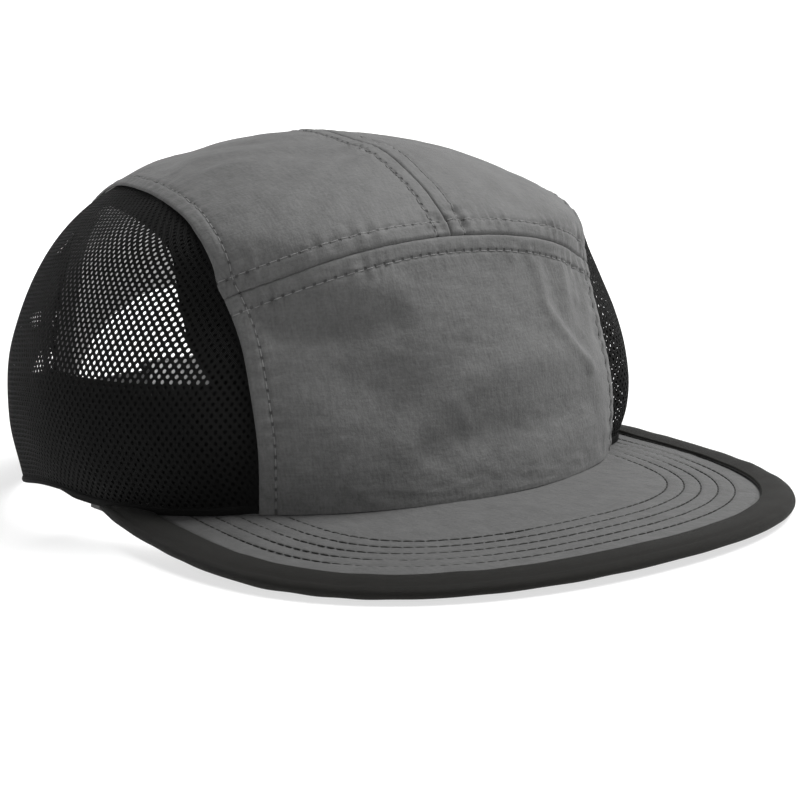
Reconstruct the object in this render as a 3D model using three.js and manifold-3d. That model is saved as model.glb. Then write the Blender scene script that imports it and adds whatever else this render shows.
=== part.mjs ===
// Five-panel technical cap: a nylon front panel and two nylon top panels, a net panel on each side,
// a stitched and bound brim, an inner sweatband, seam tapes and a rear strap with a plain buckle.
// Millimetres, +Z up. The brim points along -Y, and the cap stands on its brim and its rear rim at z = 0.

import * as THREE from "three";
import { mergeVertices } from "three/addons/utils/BufferGeometryUtils.js";
import Module from "manifold-3d";

const wasm = await Module();
wasm.setup();

// Driving dimensions

const GAP = 0.3; // clearance between neighbouring pieces
const CLOTH = 1.2; // wall of the nylon and net panels
const TAPE = 1.0; // wall of the inner seam tapes
const BAND = 1.3; // wall of the sweatband
const WEBBING = 1.5; // wall of the rear strap
const CENTRE_Y = 34.77; // moves the crown back so that the whole cap is centred on the origin

// The crown from the rim up, one level section per row. Front and back are the ends of the section on
// the centre line, and square is the exponent of its front half: 2 is an ellipse, more is boxier.
const CROWN_CENTRE = -4;
const BACK_SQUARE = 2.05;
const SECTIONS = [
  { height: 0, half_width: 90, front: -98.5, back: 93, square: 1.95 },
  { height: 20, half_width: 93.5, front: -94, back: 92.5, square: 2.05 },
  { height: 40, half_width: 92.5, front: -88.5, back: 89.5, square: 2.05 },
  { height: 60, half_width: 85.5, front: -81.8, back: 82.5, square: 2.2 },
  { height: 76.5, half_width: 74, front: -74.8, back: 75, square: 2.8 },
  { height: 89.5, half_width: 57.5, front: -60, back: 62, square: 2.5 },
  { height: 99, half_width: 36, front: -41, back: 41, square: 2.1 },
  { height: 104.5, half_width: 0, front: CROWN_CENTRE, back: CROWN_CENTRE, square: 2 },
];

// Plan outline of the three nylon panels: half their width at each place along the cap
const SIDE_SEAM = [
  { y: -90, half_width: 62.2 },
  { y: -73, half_width: 60.9 },
  { y: -66, half_width: 60.5 },
  { y: -60, half_width: 62 },
  { y: -54, half_width: 63.3 },
  { y: -31, half_width: 61.7 },
  { y: -8, half_width: 58.8 },
  { y: 8, half_width: 55.8 },
  { y: 23, half_width: 52.6 },
  { y: 50, half_width: 50 },
  { y: 100, half_width: 52 },
];

// The seam across the front, between the front panel and the top panels: it falls by drop at half_width
const FRONT_SEAM = { height: 75.2, drop: 11.3, half_width: 58, power: 2.2 };

// Soft dents and folds of the nylon: place on the face, half size along and across, turn in degrees,
// and depth, where less than zero stands proud. Front dents lie at x and height, top dents at x and y.
const DENTS = [
  { face: "front", x: -31, at: 58, along: 24, across: 5, turn: 14, depth: 2.4 },
  { face: "front", x: 12, at: 33, along: 30, across: 7, turn: 24, depth: -1.6 },
  { face: "front", x: 22, at: 20, along: 26, across: 6, turn: 20, depth: 1.5 },
  { face: "front", x: 46, at: 52, along: 15, across: 4, turn: 70, depth: 1.6 },
  { face: "top", x: -38, at: 8, along: 26, across: 7, turn: 50, depth: 1.5 },
  { face: "top", x: -22, at: -38, along: 20, across: 9, turn: 15, depth: 1.2 },
];

const BRIM = {
  half_width: 92.4,
  widest_y: -63,
  length: 99.7, // from the widest place to the front edge
  side_power: 2.22,
  front_power: 2.88,
  taper: 10, // how far each side draws in over taper_length behind the widest place
  taper_length: 60,
  slope: 0.0576, // rise for each millimetre towards the crown
  droop: 4.1, // how far the sides hang below the middle
  thickness: 2.4,
  end_y: -20, // where the sides of the brim run out on the crown
};
// The binding's width over the brim, the wall of its fold and the slot between its two sides. It stays
// clear of the crown, and ends where it is end_width wide.
const BINDING = { width: 12, wall: 1.0, slot: 1.8, clear: 0.8, end_width: 1.8 };
const RIM_LEAN = 0.4; // how far the inner edge of the leaning front hangs below its outer edge
const EASE = 0.7; // the sweatband and the tapes lie this far inside the panels
// The sweatband's width at the front and at the back, and its place: it starts lift above the rim, and
// stops back_gap either side of the middle of the back
const SWEATBAND = { front: 32.7, back: 28, lift: 0.2, back_gap: 52 };
const SEAM_TAPE = { inside: 4, outside: 9, above_band: 2 }; // its reach either side of the side seam
const OPENING = { half_width: 44, straight: 12, height: 52 }; // arch at the back
const STRAP = { half_length: 50.5, low: 3.6, high: 22.6 };
const BUCKLE = { half_length: 13, border: 2.6, wall: 1.4 };

// Blending down a short table

function blendColumn(rows, column, place, mirrored) {
  const last = rows.length - 1;
  const i = Math.min(Math.max(Math.floor(place), 0), last - 1);
  const t = place - i;
  const value = (k) => rows[k][column];
  const before = i > 0 ? value(i - 1) : 2 * value(0) - value(1);
  const pastTop = mirrored ? 2 * value(last) - value(last - 1) : value(last - 1);
  const after = i + 2 <= last ? value(i + 2) : pastTop;
  const a = value(i);
  const b = value(i + 1);
  const cubic = 3 * (a - b) + after - before;
  return a + 0.5 * t * (b - before + t * (2 * before - 5 * a + 4 * b - after + t * cubic));
}

function lookUp(rows, key, column, at) {
  const k = rows.findIndex((row) => row[key] > at);
  if (k === 0) return rows[0][column];
  if (k < 0) return rows[rows.length - 1][column];
  const t = (at - rows[k - 1][key]) / (rows[k][key] - rows[k - 1][key]);
  const smooth = t * t * (3 - 2 * t);
  return rows[k - 1][column] + (rows[k][column] - rows[k - 1][column]) * smooth;
}

const bisect = (test, low, high) => {
  for (let i = 0; i < 40; i++) {
    const middle = (low + high) / 2;
    if (test(middle)) low = middle;
    else high = middle;
  }
  return (low + high) / 2;
};

// The brim's surface

function brimPlan(t) {
  // Right half of the outline: t from 0 at the front to 1 at the widest place, then to 2 at the crown
  if (t > 1) {
    const k = t - 1;
    return [BRIM.half_width - BRIM.taper * k * k, BRIM.widest_y + BRIM.taper_length * k];
  }
  const a = (t * Math.PI) / 2;
  const x = BRIM.half_width * Math.sin(a) ** (2 / BRIM.side_power);
  return [x, BRIM.widest_y - BRIM.length * Math.cos(a) ** (2 / BRIM.front_power)];
}

const brimShape = (x, y) => BRIM.slope * y - BRIM.droop * (x / BRIM.half_width) ** 2;

// The brim is as high as puts the lowest place of its bound edge on the ground
const BRIM_HALF_EDGE = BINDING.slot / 2 + BINDING.wall;
const OUTLINE_STEPS = 100;
const outlineShapes = Array.from({ length: OUTLINE_STEPS + 1 }, (_, i) =>
  brimShape(...brimPlan((2 * i) / OUTLINE_STEPS)),
);
const BRIM_RISE = BRIM_HALF_EDGE - Math.min(...outlineShapes);
const brimMiddle = (x, y) => BRIM_RISE + brimShape(x, y);
const brimTop = (x, y) => brimMiddle(x, y) + BRIM.thickness / 2;

// The crown's surface. A place on it is its level, counted in rows of SECTIONS, and its turn, the
// angle round the cap from +X, so that -90 degrees is the front.

const TOP_LEVEL = SECTIONS.length - 1;
const TOP_HEIGHT = SECTIONS[TOP_LEVEL].height;
const section = (level) => ({
  height: blendColumn(SECTIONS, "height", level, false),
  half_width: Math.max(blendColumn(SECTIONS, "half_width", level, true), 0),
  front: blendColumn(SECTIONS, "front", level, true),
  back: blendColumn(SECTIONS, "back", level, true),
  square: blendColumn(SECTIONS, "square", level, false),
});

function ringPlan(ring, turn) {
  const c = Math.cos(turn);
  const s = Math.sin(turn);
  const n = s < 0 ? ring.square : BACK_SQUARE;
  const half = s < 0 ? CROWN_CENTRE - ring.front : ring.back - CROWN_CENTRE;
  return [
    ring.half_width * Math.sign(c) * Math.abs(c) ** (2 / n),
    CROWN_CENTRE + half * Math.sign(s) * Math.abs(s) ** (2 / n),
  ];
}

// The rim lies on the brim at the front and falls to the ground at the back
const frontShare = (y) => 1 - THREE.MathUtils.smoothstep(y, BRIM.end_y, SECTIONS[0].back);

function rimHeight(turn) {
  const [x, y] = ringPlan(SECTIONS[0], turn);
  const onBrim = brimTop(x, Math.min(y, BRIM.end_y)) + GAP + RIM_LEAN;
  return onBrim * frontShare(y);
}

// The top edge of the sweatband
function bandTop(turn) {
  const share = frontShare(ringPlan(SECTIONS[0], turn)[1]);
  return rimHeight(turn) + SWEATBAND.back + (SWEATBAND.front - SWEATBAND.back) * share;
}

function dentDepth(face, x, at) {
  let depth = 0;
  for (const dent of DENTS) {
    if (dent.face !== face) continue;
    const a = THREE.MathUtils.degToRad(dent.turn);
    const along = (x - dent.x) * Math.cos(a) + (at - dent.at) * Math.sin(a);
    const across = (at - dent.at) * Math.cos(a) - (x - dent.x) * Math.sin(a);
    depth += dent.depth * Math.exp(-((along / dent.along) ** 2) - (across / dent.across) ** 2);
  }
  return depth;
}

function smoothPoint(level, turn) {
  const ring = section(level);
  const [x, y] = ringPlan(ring, turn);
  return new THREE.Vector3(x, y, ring.height + rimHeight(turn) * (1 - ring.height / TOP_HEIGHT));
}

const NORMAL_STEP = 0.02; // in levels and in radians
const NEAR_TOP = TOP_LEVEL - 0.05; // the sections shrink to a point at the top

function crownNormal(level, turn) {
  const low = Math.max(level - NORMAL_STEP, 0);
  const high = Math.min(level + NORMAL_STEP, TOP_LEVEL - NORMAL_STEP / 2);
  const up = smoothPoint(high, turn).sub(smoothPoint(low, turn));
  const round = smoothPoint(Math.min(level, NEAR_TOP), turn + NORMAL_STEP);
  round.sub(smoothPoint(Math.min(level, NEAR_TOP), turn - NORMAL_STEP));
  return round.cross(up).normalize();
}

// Front dents fade out and top dents fade in where the normal's upward part is between these two
const SHOULDER = { start: 0.5, end: 0.8 };

function crownPoint({ level, turn }, depth = 0) {
  const point = smoothPoint(level, turn);
  const atTop = level > TOP_LEVEL - NORMAL_STEP;
  const normal = atTop ? new THREE.Vector3(0, 0, 1) : crownNormal(level, turn);
  const share = THREE.MathUtils.smoothstep(normal.z, SHOULDER.start, SHOULDER.end);
  const front = point.y < 0 ? dentDepth("front", point.x, point.z) * (1 - share) : 0;
  const top = dentDepth("top", point.x, point.y) * share;
  return point.addScaledVector(normal, -(depth + front + top));
}

function levelAt(turn, height) {
  const rise = (level) => {
    const h = section(level).height;
    return h + rimHeight(turn) * (1 - h / TOP_HEIGHT);
  };
  return bisect((level) => rise(level) < height, 0, TOP_LEVEL);
}

// Places on a line that keeps its distance from the middle, from the front rim over to the back rim

const PROFILE_STEPS = 60;
const PROFILES_PER_MM = 50;
const MIDDLE = 1e-3; // a profile lies at least this far from the centre line

function makeProfile(x) {
  const side = x < 0 ? -1 : 1;
  const reach = Math.max(Math.abs(x), MIDDLE);
  const top = bisect((level) => section(level).half_width > reach, 1, TOP_LEVEL);
  const places = [];
  for (let i = -PROFILE_STEPS; i <= PROFILE_STEPS; i++) {
    const level = top * (1 - (i / PROFILE_STEPS) ** 2);
    const ring = section(level);
    const n = i < 0 ? ring.square : BACK_SQUARE;
    const c = Math.min(reach / ring.half_width, 1) ** (n / 2);
    const angle = Math.acos(side * c);
    const backTurn = side > 0 ? angle : angle - 2 * Math.PI; // the left and right ways round the cap
    places.push({ level, turn: i < 0 ? -angle : backTurn });
  }
  let length = 0;
  let last = null;
  for (const place of places) {
    place.point = smoothPoint(place.level, place.turn);
    if (last) length += place.point.distanceTo(last.point);
    place.length = length;
    last = place;
  }
  return places;
}

const profiles = new Map();
function profileAt(x) {
  const key = Math.round(x * PROFILES_PER_MM) / PROFILES_PER_MM;
  if (!profiles.has(key)) profiles.set(key, makeProfile(key));
  return profiles.get(key);
}

function along(profile, length) {
  const k = Math.max(profile.findIndex((place) => place.length >= length), 1);
  const a = profile[k - 1];
  const b = profile[k];
  const t = (length - a.length) / (b.length - a.length);
  return { level: a.level + (b.level - a.level) * t, turn: a.turn + (b.turn - a.turn) * t };
}

// A place on the nylon strip: across from -1 to 1 at its two seams, more than that outside them, and a
// length along that start and end are given for, both as functions of x
const STRIP_PASSES = 7;
const STRIP_HALF = 60; // mean half width of the strip
const SEAM_GAP = GAP / 2 / STRIP_HALF; // half a gap, as a share of the half width

function stripPlace(across, part, start, end) {
  let y = SIDE_SEAM[0].y;
  let place = null;
  for (let pass = 0; pass < STRIP_PASSES; pass++) {
    const x = across * lookUp(SIDE_SEAM, "y", "half_width", y);
    const profile = profileAt(x);
    const low = start(profile, x);
    place = along(profile, low + (end(profile, x) - low) * part);
    y = smoothPoint(place.level, place.turn).y;
  }
  return place;
}

const fromRim = () => 0;
const toBackRim = (profile) => profile[profile.length - 1].length - 1e-6;

function frontSeam(profile, x) {
  const share = Math.abs(x) / FRONT_SEAM.half_width;
  const height = FRONT_SEAM.height - FRONT_SEAM.drop * share ** FRONT_SEAM.power;
  const k = profile.findIndex((place) => place.point.z > height);
  const a = profile[k - 1];
  const b = profile[k];
  return a.length + ((b.length - a.length) * (height - a.point.z)) / (b.point.z - a.point.z);
}

// Closed walls from a grid of outer points and a grid of inner points

function wall(outer, inner) {
  const rows = outer.length;
  const columns = outer[0].length;
  const points = [...outer.flat(), ...inner.flat()];
  const half = rows * columns;
  const index = [];
  const quad = (a, b, c, d) => index.push(a, b, c, a, c, d);
  const at = (r, c) => r * columns + c;
  for (let r = 0; r + 1 < rows; r++)
    for (let c = 0; c + 1 < columns; c++) {
      quad(at(r, c), at(r, c + 1), at(r + 1, c + 1), at(r + 1, c));
      quad(half + at(r, c), half + at(r + 1, c), half + at(r + 1, c + 1), half + at(r, c + 1));
    }
  const edge = (a, b) => quad(b, a, half + a, half + b);
  for (let c = 0; c + 1 < columns; c++) {
    edge(at(0, c), at(0, c + 1));
    edge(at(rows - 1, c + 1), at(rows - 1, c));
  }
  for (let r = 0; r + 1 < rows; r++) {
    edge(at(r + 1, 0), at(r, 0));
    edge(at(r, columns - 1), at(r + 1, columns - 1));
  }
  return facingOut(points, index);
}

// A closed section swept through several places, each a loop of points; its flat shape closes the ends
function sweep(loops, shape) {
  const sides = loops[0].length;
  const index = [];
  for (let r = 0; r + 1 < loops.length; r++)
    for (let c = 0; c < sides; c++) {
      const d = (c + 1) % sides;
      const low = r * sides;
      const high = low + sides;
      index.push(low + c, low + d, high + d, low + c, high + d, high + c);
    }
  const flat = shape.map(([x, y]) => new THREE.Vector2(x, y));
  const cap = THREE.ShapeUtils.triangulateShape(flat, []);
  const end = (loops.length - 1) * sides;
  for (const [a, b, c] of cap) index.push(b, a, c, end + a, end + b, end + c);
  return facingOut(loops.flat(), index);
}

function facingOut(points, index) {
  let volume = 0;
  for (let i = 0; i < index.length; i += 3) {
    const [a, b, c] = [points[index[i]], points[index[i + 1]], points[index[i + 2]]];
    volume += a.dot(b.clone().cross(c));
  }
  if (volume < 0) index.reverse();
  const geometry = new THREE.BufferGeometry().setFromPoints(points);
  geometry.setIndex(index);
  geometry.computeVertexNormals();
  return geometry;
}

const grid = (rows, columns, place) =>
  Array.from({ length: rows + 1 }, (_, r) =>
    Array.from({ length: columns + 1 }, (_, c) => place(r / rows, c / columns)),
  );

function crownWall(places, depth, thickness) {
  const outer = places.map((row) => row.map((place) => crownPoint(place, depth)));
  const inner = places.map((row) => row.map((place) => crownPoint(place, depth + thickness)));
  return wall(outer, inner);
}

// Cutting one closed geometry with another

function solid(geometry) {
  const bare = geometry.clone();
  bare.deleteAttribute("normal");
  bare.deleteAttribute("uv");
  const merged = mergeVertices(bare, 1e-4);
  return new wasm.Manifold(
    new wasm.Mesh({
      numProp: 3,
      vertProperties: merged.attributes.position.array,
      triVerts: new Uint32Array(merged.index.array),
    }),
  );
}

function cut(geometry, cutter) {
  const mesh = solid(geometry).subtract(solid(cutter)).getMesh();
  const result = new THREE.BufferGeometry();
  result.setAttribute("position", new THREE.BufferAttribute(mesh.vertProperties, 3));
  result.setIndex(new THREE.BufferAttribute(mesh.triVerts, 1));
  result.computeVertexNormals();
  return result;
}

// Nylon panels

function frontPanel() {
  const reach = 1 - SEAM_GAP;
  const end = (profile, x) => frontSeam(profile, x) - GAP / 2;
  const place = (r, c) => stripPlace((2 * c - 1) * reach, r, fromRim, end);
  return crownWall(grid(11, 22, place), 0, CLOTH);
}

function topPanel(side) {
  const start = (profile, x) => frontSeam(profile, x) + GAP / 2;
  const across = (c) => side * (SEAM_GAP + c * (1 - 2 * SEAM_GAP));
  const place = (r, c) => stripPlace(across(c), r, start, toBackRim);
  return cut(crownWall(grid(30, 11, place), 0, CLOTH), backOpening());
}

// The arch at the back, as a block that passes through the rear wall
const BLOCK = { below: 10, depth: 60, back_y: 110, curve_segments: 20 };

function backOpening() {
  const shape = new THREE.Shape();
  shape.moveTo(-OPENING.half_width, -BLOCK.below);
  shape.lineTo(OPENING.half_width, -BLOCK.below);
  shape.lineTo(OPENING.half_width, OPENING.straight);
  const rise = OPENING.height - OPENING.straight;
  shape.absellipse(0, OPENING.straight, OPENING.half_width, rise, 0, Math.PI, false);
  const block = new THREE.ExtrudeGeometry(shape, {
    depth: BLOCK.depth,
    bevelEnabled: false,
    curveSegments: BLOCK.curve_segments,
  });
  block.rotateX(Math.PI / 2);
  block.translate(0, BLOCK.back_y, 0);
  return block;
}

// Net panels at the sides, from the rim up to the seam

const NET_START = 0.012; // the net's edge on the seam starts this share of the seam from each rim

function sidePanel(side) {
  const reach = side * (1 + SEAM_GAP);
  const seam = (part) => stripPlace(reach, part, fromRim, toBackRim);
  const first = seam(0).turn;
  const last = seam(1).turn;
  const place = (r, c) => {
    const top = seam(NET_START + (1 - 2 * NET_START) * c);
    const rimTurn = first + (last - first) * c;
    return { level: top.level * r, turn: rimTurn + (top.turn - rimTurn) * r };
  };
  return crownWall(grid(12, 32, place), 0, CLOTH);
}

// Tapes inside the side seams, from the sweatband over the crown and down again

const OUTSIDE_SLOPE = 1.35; // length over the crown for each millimetre out from the seam

function seamTape(side) {
  const frontEnd = bandTop(-Math.PI / 2) + SEAM_TAPE.above_band;
  const backEnd = bandTop(backTurnAt(SWEATBAND.back_gap)) + SEAM_TAPE.above_band;
  const low = (profile) => profileHeightLength(profile, frontEnd, 1);
  const high = (profile) => profileHeightLength(profile, backEnd, -1);
  const inside = 1 - SEAM_TAPE.inside / STRIP_HALF;
  const outside = 1 + SEAM_TAPE.outside / OUTSIDE_SLOPE / STRIP_HALF;
  const place = (r, c) => stripPlace(side * (inside + (outside - inside) * c), r, low, high);
  return crownWall(grid(36, 2, place), CLOTH + EASE, TAPE);
}

// Length along a profile where it first passes a height, counted from the front or from the back
function profileHeightLength(profile, height, direction) {
  const places = direction > 0 ? profile : [...profile].reverse();
  return places.find((place) => place.point.z > height).length;
}

// The sweatband, inside the crown all round except at the back opening

function sweatband() {
  const end = backTurnAt(SWEATBAND.back_gap);
  const start = -Math.PI - end;
  const place = (r, c) => {
    const turn = start + (end - start) * c;
    const low = rimHeight(turn) + SWEATBAND.lift;
    return { level: levelAt(turn, low + (bandTop(turn) - low) * r), turn };
  };
  return crownWall(grid(3, 54, place), CLOTH + EASE, BAND);
}

// The brim: a thin board covered in nylon, stepped down where the binding folds over its edge

const EDGE_STEPS = 240;
const halfEdge = Array.from({ length: EDGE_STEPS + 1 }, (_, i) => {
  const end = 1 + (BRIM.end_y - BRIM.widest_y) / BRIM.taper_length;
  const [x, y] = brimPlan((end * i) / EDGE_STEPS);
  return new THREE.Vector2(x, y);
});
const edgeLengths = halfEdge.reduce(
  (sums, p, i) => (i ? [...sums, sums[i - 1] + p.distanceTo(halfEdge[i - 1])] : [0]),
  [],
);

// A place on the brim's outline, from -1 at one end to 1 at the other, and so far inside it
const WAY_STEPS = 3; // the outline's direction is taken over this many steps either way

function brimEdge(part, inset) {
  const length = Math.abs(part) * edgeLengths[EDGE_STEPS];
  const k = Math.min(Math.max(edgeLengths.findIndex((l) => l >= length), 1), EDGE_STEPS);
  const t = (length - edgeLengths[k - 1]) / (edgeLengths[k] - edgeLengths[k - 1]);
  const point = halfEdge[k - 1].clone().lerp(halfEdge[k], t);
  const near = halfEdge[Math.max(k - WAY_STEPS, 0)];
  const far = halfEdge[Math.min(k + WAY_STEPS - 1, EDGE_STEPS)];
  const way = k <= WAY_STEPS ? new THREE.Vector2(1, 0) : far.clone().sub(near).normalize();
  point.x += way.y * -inset;
  point.y += way.x * inset;
  if (part < 0) point.x = -point.x;
  return point;
}

function onBrim(plan, offset) {
  return new THREE.Vector3(plan.x, plan.y, brimMiddle(plan.x, plan.y) + offset);
}

// Where the brim meets the crown, just inside the panels' outer face
function brimRoot(part) {
  const endTurn = bisect((a) => ringPlan(section(0), a)[1] < BRIM.end_y, -Math.PI / 2, 0);
  const turn = -Math.PI / 2 + part * (endTurn + Math.PI / 2);
  const point = smoothPoint(0, turn);
  const normal = crownNormal(0, turn);
  const flat = new THREE.Vector2(normal.x, normal.y).normalize();
  return new THREE.Vector2(point.x - flat.x * CLOTH, point.y - flat.y * CLOTH);
}

// How far inside its outline the brim reaches the crown
const MOST_ROOM = 60;

function roomAt(part) {
  const ring = SECTIONS[0];
  const outside = (inset) => {
    const point = brimEdge(part, inset);
    const half = CROWN_CENTRE - ring.front;
    const across = (Math.abs(point.x) / ring.half_width) ** ring.square;
    return across + (Math.abs(point.y - CROWN_CENTRE) / half) ** ring.square > 1;
  };
  return bisect(outside, 0, MOST_ROOM);
}

// The binding narrows at the two ends of the brim, where the outline runs out on the crown
const bindingWidth = (part) => Math.min(BINDING.width, roomAt(part) - BINDING.clear);
const EDGE_END = bisect((part) => bindingWidth(part) > BINDING.end_width, 0.5, 1);

const EDGE_COLUMNS = 54;
const edgePart = (i) => ((2 * i) / EDGE_COLUMNS - 1) * EDGE_END;

function brim() {
  const spread = [0.25, 0.5, 0.75, 1];
  const tongue = BINDING.slot / 2 - GAP;
  const rim = BRIM.thickness / 2;
  const face = (sign) => {
    const edge = [
      (part) => onBrim(brimEdge(part, BINDING.wall + GAP), sign * tongue),
      (part) => onBrim(brimEdge(part, bindingWidth(part) + GAP), sign * tongue),
      (part) => onBrim(brimEdge(part, bindingWidth(part) + GAP), sign * rim),
    ];
    const inner = spread.map((share) => (part) => {
      const start = brimEdge(part, bindingWidth(part) + GAP);
      return onBrim(start.lerp(brimRoot(part), share), sign * rim);
    });
    return [...edge, ...inner].map((place) =>
      Array.from({ length: EDGE_COLUMNS + 1 }, (_, c) => place(edgePart(c))),
    );
  };
  return wall(face(1), face(-1));
}

const BINDING_HALF = BINDING.slot / 2;
const bindingSection = (width) => [
  [0, -BRIM_HALF_EDGE],
  [width, -BRIM_HALF_EDGE],
  [width, -BINDING_HALF],
  [BINDING.wall, -BINDING_HALF],
  [BINDING.wall, BINDING_HALF],
  [width, BINDING_HALF],
  [width, BRIM_HALF_EDGE],
  [0, BRIM_HALF_EDGE],
];

function brimBinding() {
  const loops = Array.from({ length: EDGE_COLUMNS + 1 }, (_, i) => {
    const part = edgePart(i);
    const corners = bindingSection(bindingWidth(part));
    return corners.map(([inset, offset]) => onBrim(brimEdge(part, inset), offset));
  });
  return sweep(loops, bindingSection(BINDING.width));
}

// The strap across the back opening, which follows the curve of the rim, and its flat buckle

function backTurnAt(x) {
  return bisect((a) => ringPlan(section(0), a)[0] < x, Math.PI, 0);
}

// A length of the strap, with so much more all round it
function strapLength(half, columns, more) {
  const low = STRAP.low - more;
  const high = STRAP.high + more;
  const place = (r, c) => {
    const turn = backTurnAt((2 * c - 1) * half);
    return { level: levelAt(turn, low + (high - low) * r), turn };
  };
  return crownWall(grid(1, columns, place), CLOTH + GAP - more, WEBBING + 2 * more);
}

const strap = () => strapLength(STRAP.half_length, 20, 0);

function buckle() {
  const slot = strapLength(2 * BUCKLE.half_length, 16, GAP);
  const within = (turn) => crownPoint({ level: levelAt(turn, STRAP.low), turn }, CLOTH + GAP).y;
  const back = within(Math.PI / 2) + GAP + BUCKLE.wall;
  const front = within(backTurnAt(BUCKLE.half_length)) - WEBBING - GAP - BUCKLE.wall;
  const height = STRAP.high - STRAP.low + 2 * BUCKLE.border;
  const block = new THREE.BoxGeometry(2 * BUCKLE.half_length, back - front, height);
  block.translate(0, (back + front) / 2, (STRAP.low + STRAP.high) / 2);
  return cut(block, slot);
}

// Assembly

const GREY_NYLON = { color: 0x6f6f6e, roughness: 0.78, metalness: 0 };
const BLACK_NET = { color: 0x191918, roughness: 0.7, metalness: 0 };
const CHARCOAL_BINDING = { color: 0x2f2e2b, roughness: 0.8, metalness: 0 };
const BLACK_COTTON = { color: 0x141414, roughness: 0.95, metalness: 0 };
const BLACK_PLASTIC = { color: 0x101010, roughness: 0.45, metalness: 0 };

const cap = new THREE.Group();
cap.position.y = CENTRE_Y;

function add(name, geometry, finish) {
  const mesh = new THREE.Mesh(geometry, new THREE.MeshStandardMaterial(finish));
  mesh.name = name;
  cap.add(mesh);
}

add("front_panel", frontPanel(), GREY_NYLON);
for (const [name, side] of [["left", 1], ["right", -1]]) {
  add(`top_panel_${name}`, topPanel(side), GREY_NYLON);
  add(`side_panel_${name}`, sidePanel(side), BLACK_NET);
  add(`seam_tape_${name}`, seamTape(side), BLACK_COTTON);
}
add("sweatband", sweatband(), BLACK_COTTON);
add("brim", brim(), GREY_NYLON);
add("brim_binding", brimBinding(), CHARCOAL_BINDING);
add("adjuster_strap", strap(), BLACK_COTTON);
add("strap_buckle", buckle(), BLACK_PLASTIC);

export default cap;
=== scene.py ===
"""Dresses the five-panel technical cap: soft nylon panels with sewn seams, open net sides, a stitched
and bound brim, the sweatband and tapes inside, and the rear strap with its buckle.

Shapes are worked out in millimetres, on the same sections as the frame's solids, and are placed in
metres. Left and right are the wearer's, so left is +X.
"""

import logging
import math
from collections.abc import Callable, Sequence
from dataclasses import dataclass, field
from enum import Enum, IntEnum
from typing import NamedTuple

import bpy
import numpy as np
from mathutils import Matrix, Vector

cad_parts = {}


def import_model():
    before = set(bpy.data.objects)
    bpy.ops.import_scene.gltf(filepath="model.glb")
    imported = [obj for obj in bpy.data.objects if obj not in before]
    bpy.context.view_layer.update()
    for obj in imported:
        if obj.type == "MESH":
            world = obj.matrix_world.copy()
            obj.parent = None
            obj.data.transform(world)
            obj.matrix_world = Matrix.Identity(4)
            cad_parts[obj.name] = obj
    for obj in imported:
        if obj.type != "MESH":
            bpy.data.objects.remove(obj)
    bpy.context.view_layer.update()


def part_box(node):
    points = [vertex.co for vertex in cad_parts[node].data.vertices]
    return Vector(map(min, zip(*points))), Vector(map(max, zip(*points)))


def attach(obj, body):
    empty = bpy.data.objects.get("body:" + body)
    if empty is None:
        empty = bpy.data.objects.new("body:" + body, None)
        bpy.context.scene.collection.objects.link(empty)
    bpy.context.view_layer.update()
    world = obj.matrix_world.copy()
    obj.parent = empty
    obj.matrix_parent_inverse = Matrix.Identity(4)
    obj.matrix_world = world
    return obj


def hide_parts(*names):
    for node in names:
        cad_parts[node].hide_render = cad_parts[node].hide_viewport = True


Array = np.ndarray
LOG = logging.getLogger("cap")
MM = 0.001
CENTRE_Y = 34.77  # the crown's own middle lies this far behind the origin
HALVINGS = 40  # a search by halves ends this fine
SMALL_STEP = 0.01  # in levels and in radians, for the direction of a surface
CROWN_MIDDLE = (0, 0, 40)  # a crown piece's outer face looks away from here
RIM_MIDDLE = (0, 0, 10)
UPWARDS = (0.0, 0.0, 1.0)


class Side(Enum):
    """The wearer's left or right, as the sign of x."""

    LEFT = 1
    RIGHT = -1

    @property
    def word(self) -> str:
        """The side's name in a piece's name."""
        return self.name.lower()


class Seed(IntEnum):
    """Where each random relief starts. A side's sign is added for a top panel's seams."""

    FRONT = 11
    FRONT_RIGHT_SEAM = 21
    FRONT_LEFT_SEAM = 23
    FRONT_CROSS_SEAM = 25
    TOP = 31
    TOP_MIDDLE_SEAM = 41
    TOP_SIDE_SEAM = 45
    TOP_CROSS_SEAM = 49
    ARCH_HEM = 61
    NET = 71
    SWEATBAND = 81
    TAPE = 91
    BRIM_WAVES = 101
    BRIM_RIPPLES = 103
    BINDING = 111


class Edge(Enum):
    """An edge of a grid of points: its first or last column, or its first or last row."""

    FIRST_COLUMN = 0
    LAST_COLUMN = 1
    FIRST_ROW = 2
    LAST_ROW = 3

    @property
    def is_row(self) -> bool:
        """True for the first and the last row."""
        return self in (Edge.FIRST_ROW, Edge.LAST_ROW)

    @property
    def is_last(self) -> bool:
        """True for the last column and the last row."""
        return self in (Edge.LAST_COLUMN, Edge.LAST_ROW)

    def face(self, grid: Array) -> Array:
        """The same grid with its rows along this edge and its columns going away from it."""
        turned = grid.swapaxes(0, 1) if self.is_row else grid
        return turned[:, ::-1] if self.is_last else turned

    def restore(self, grid: Array) -> Array:
        """The grid that face() turned, as it was."""
        turned = grid[:, ::-1] if self.is_last else grid
        return turned.swapaxes(0, 1) if self.is_row else turned


# Sums on many points at once


def smoothstep(value: Array, low: float, high: float) -> Array:
    """A smooth rise from 0 at low to 1 at high."""
    t = np.clip((value - low) / (high - low), 0, 1)
    return t * t * (3 - 2 * t)


def bell(distance: Array, half: float) -> Array:
    """A smooth bump, 1 at no distance and nearly 0 past twice half."""
    return np.exp(-((distance / half) ** 2))


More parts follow.
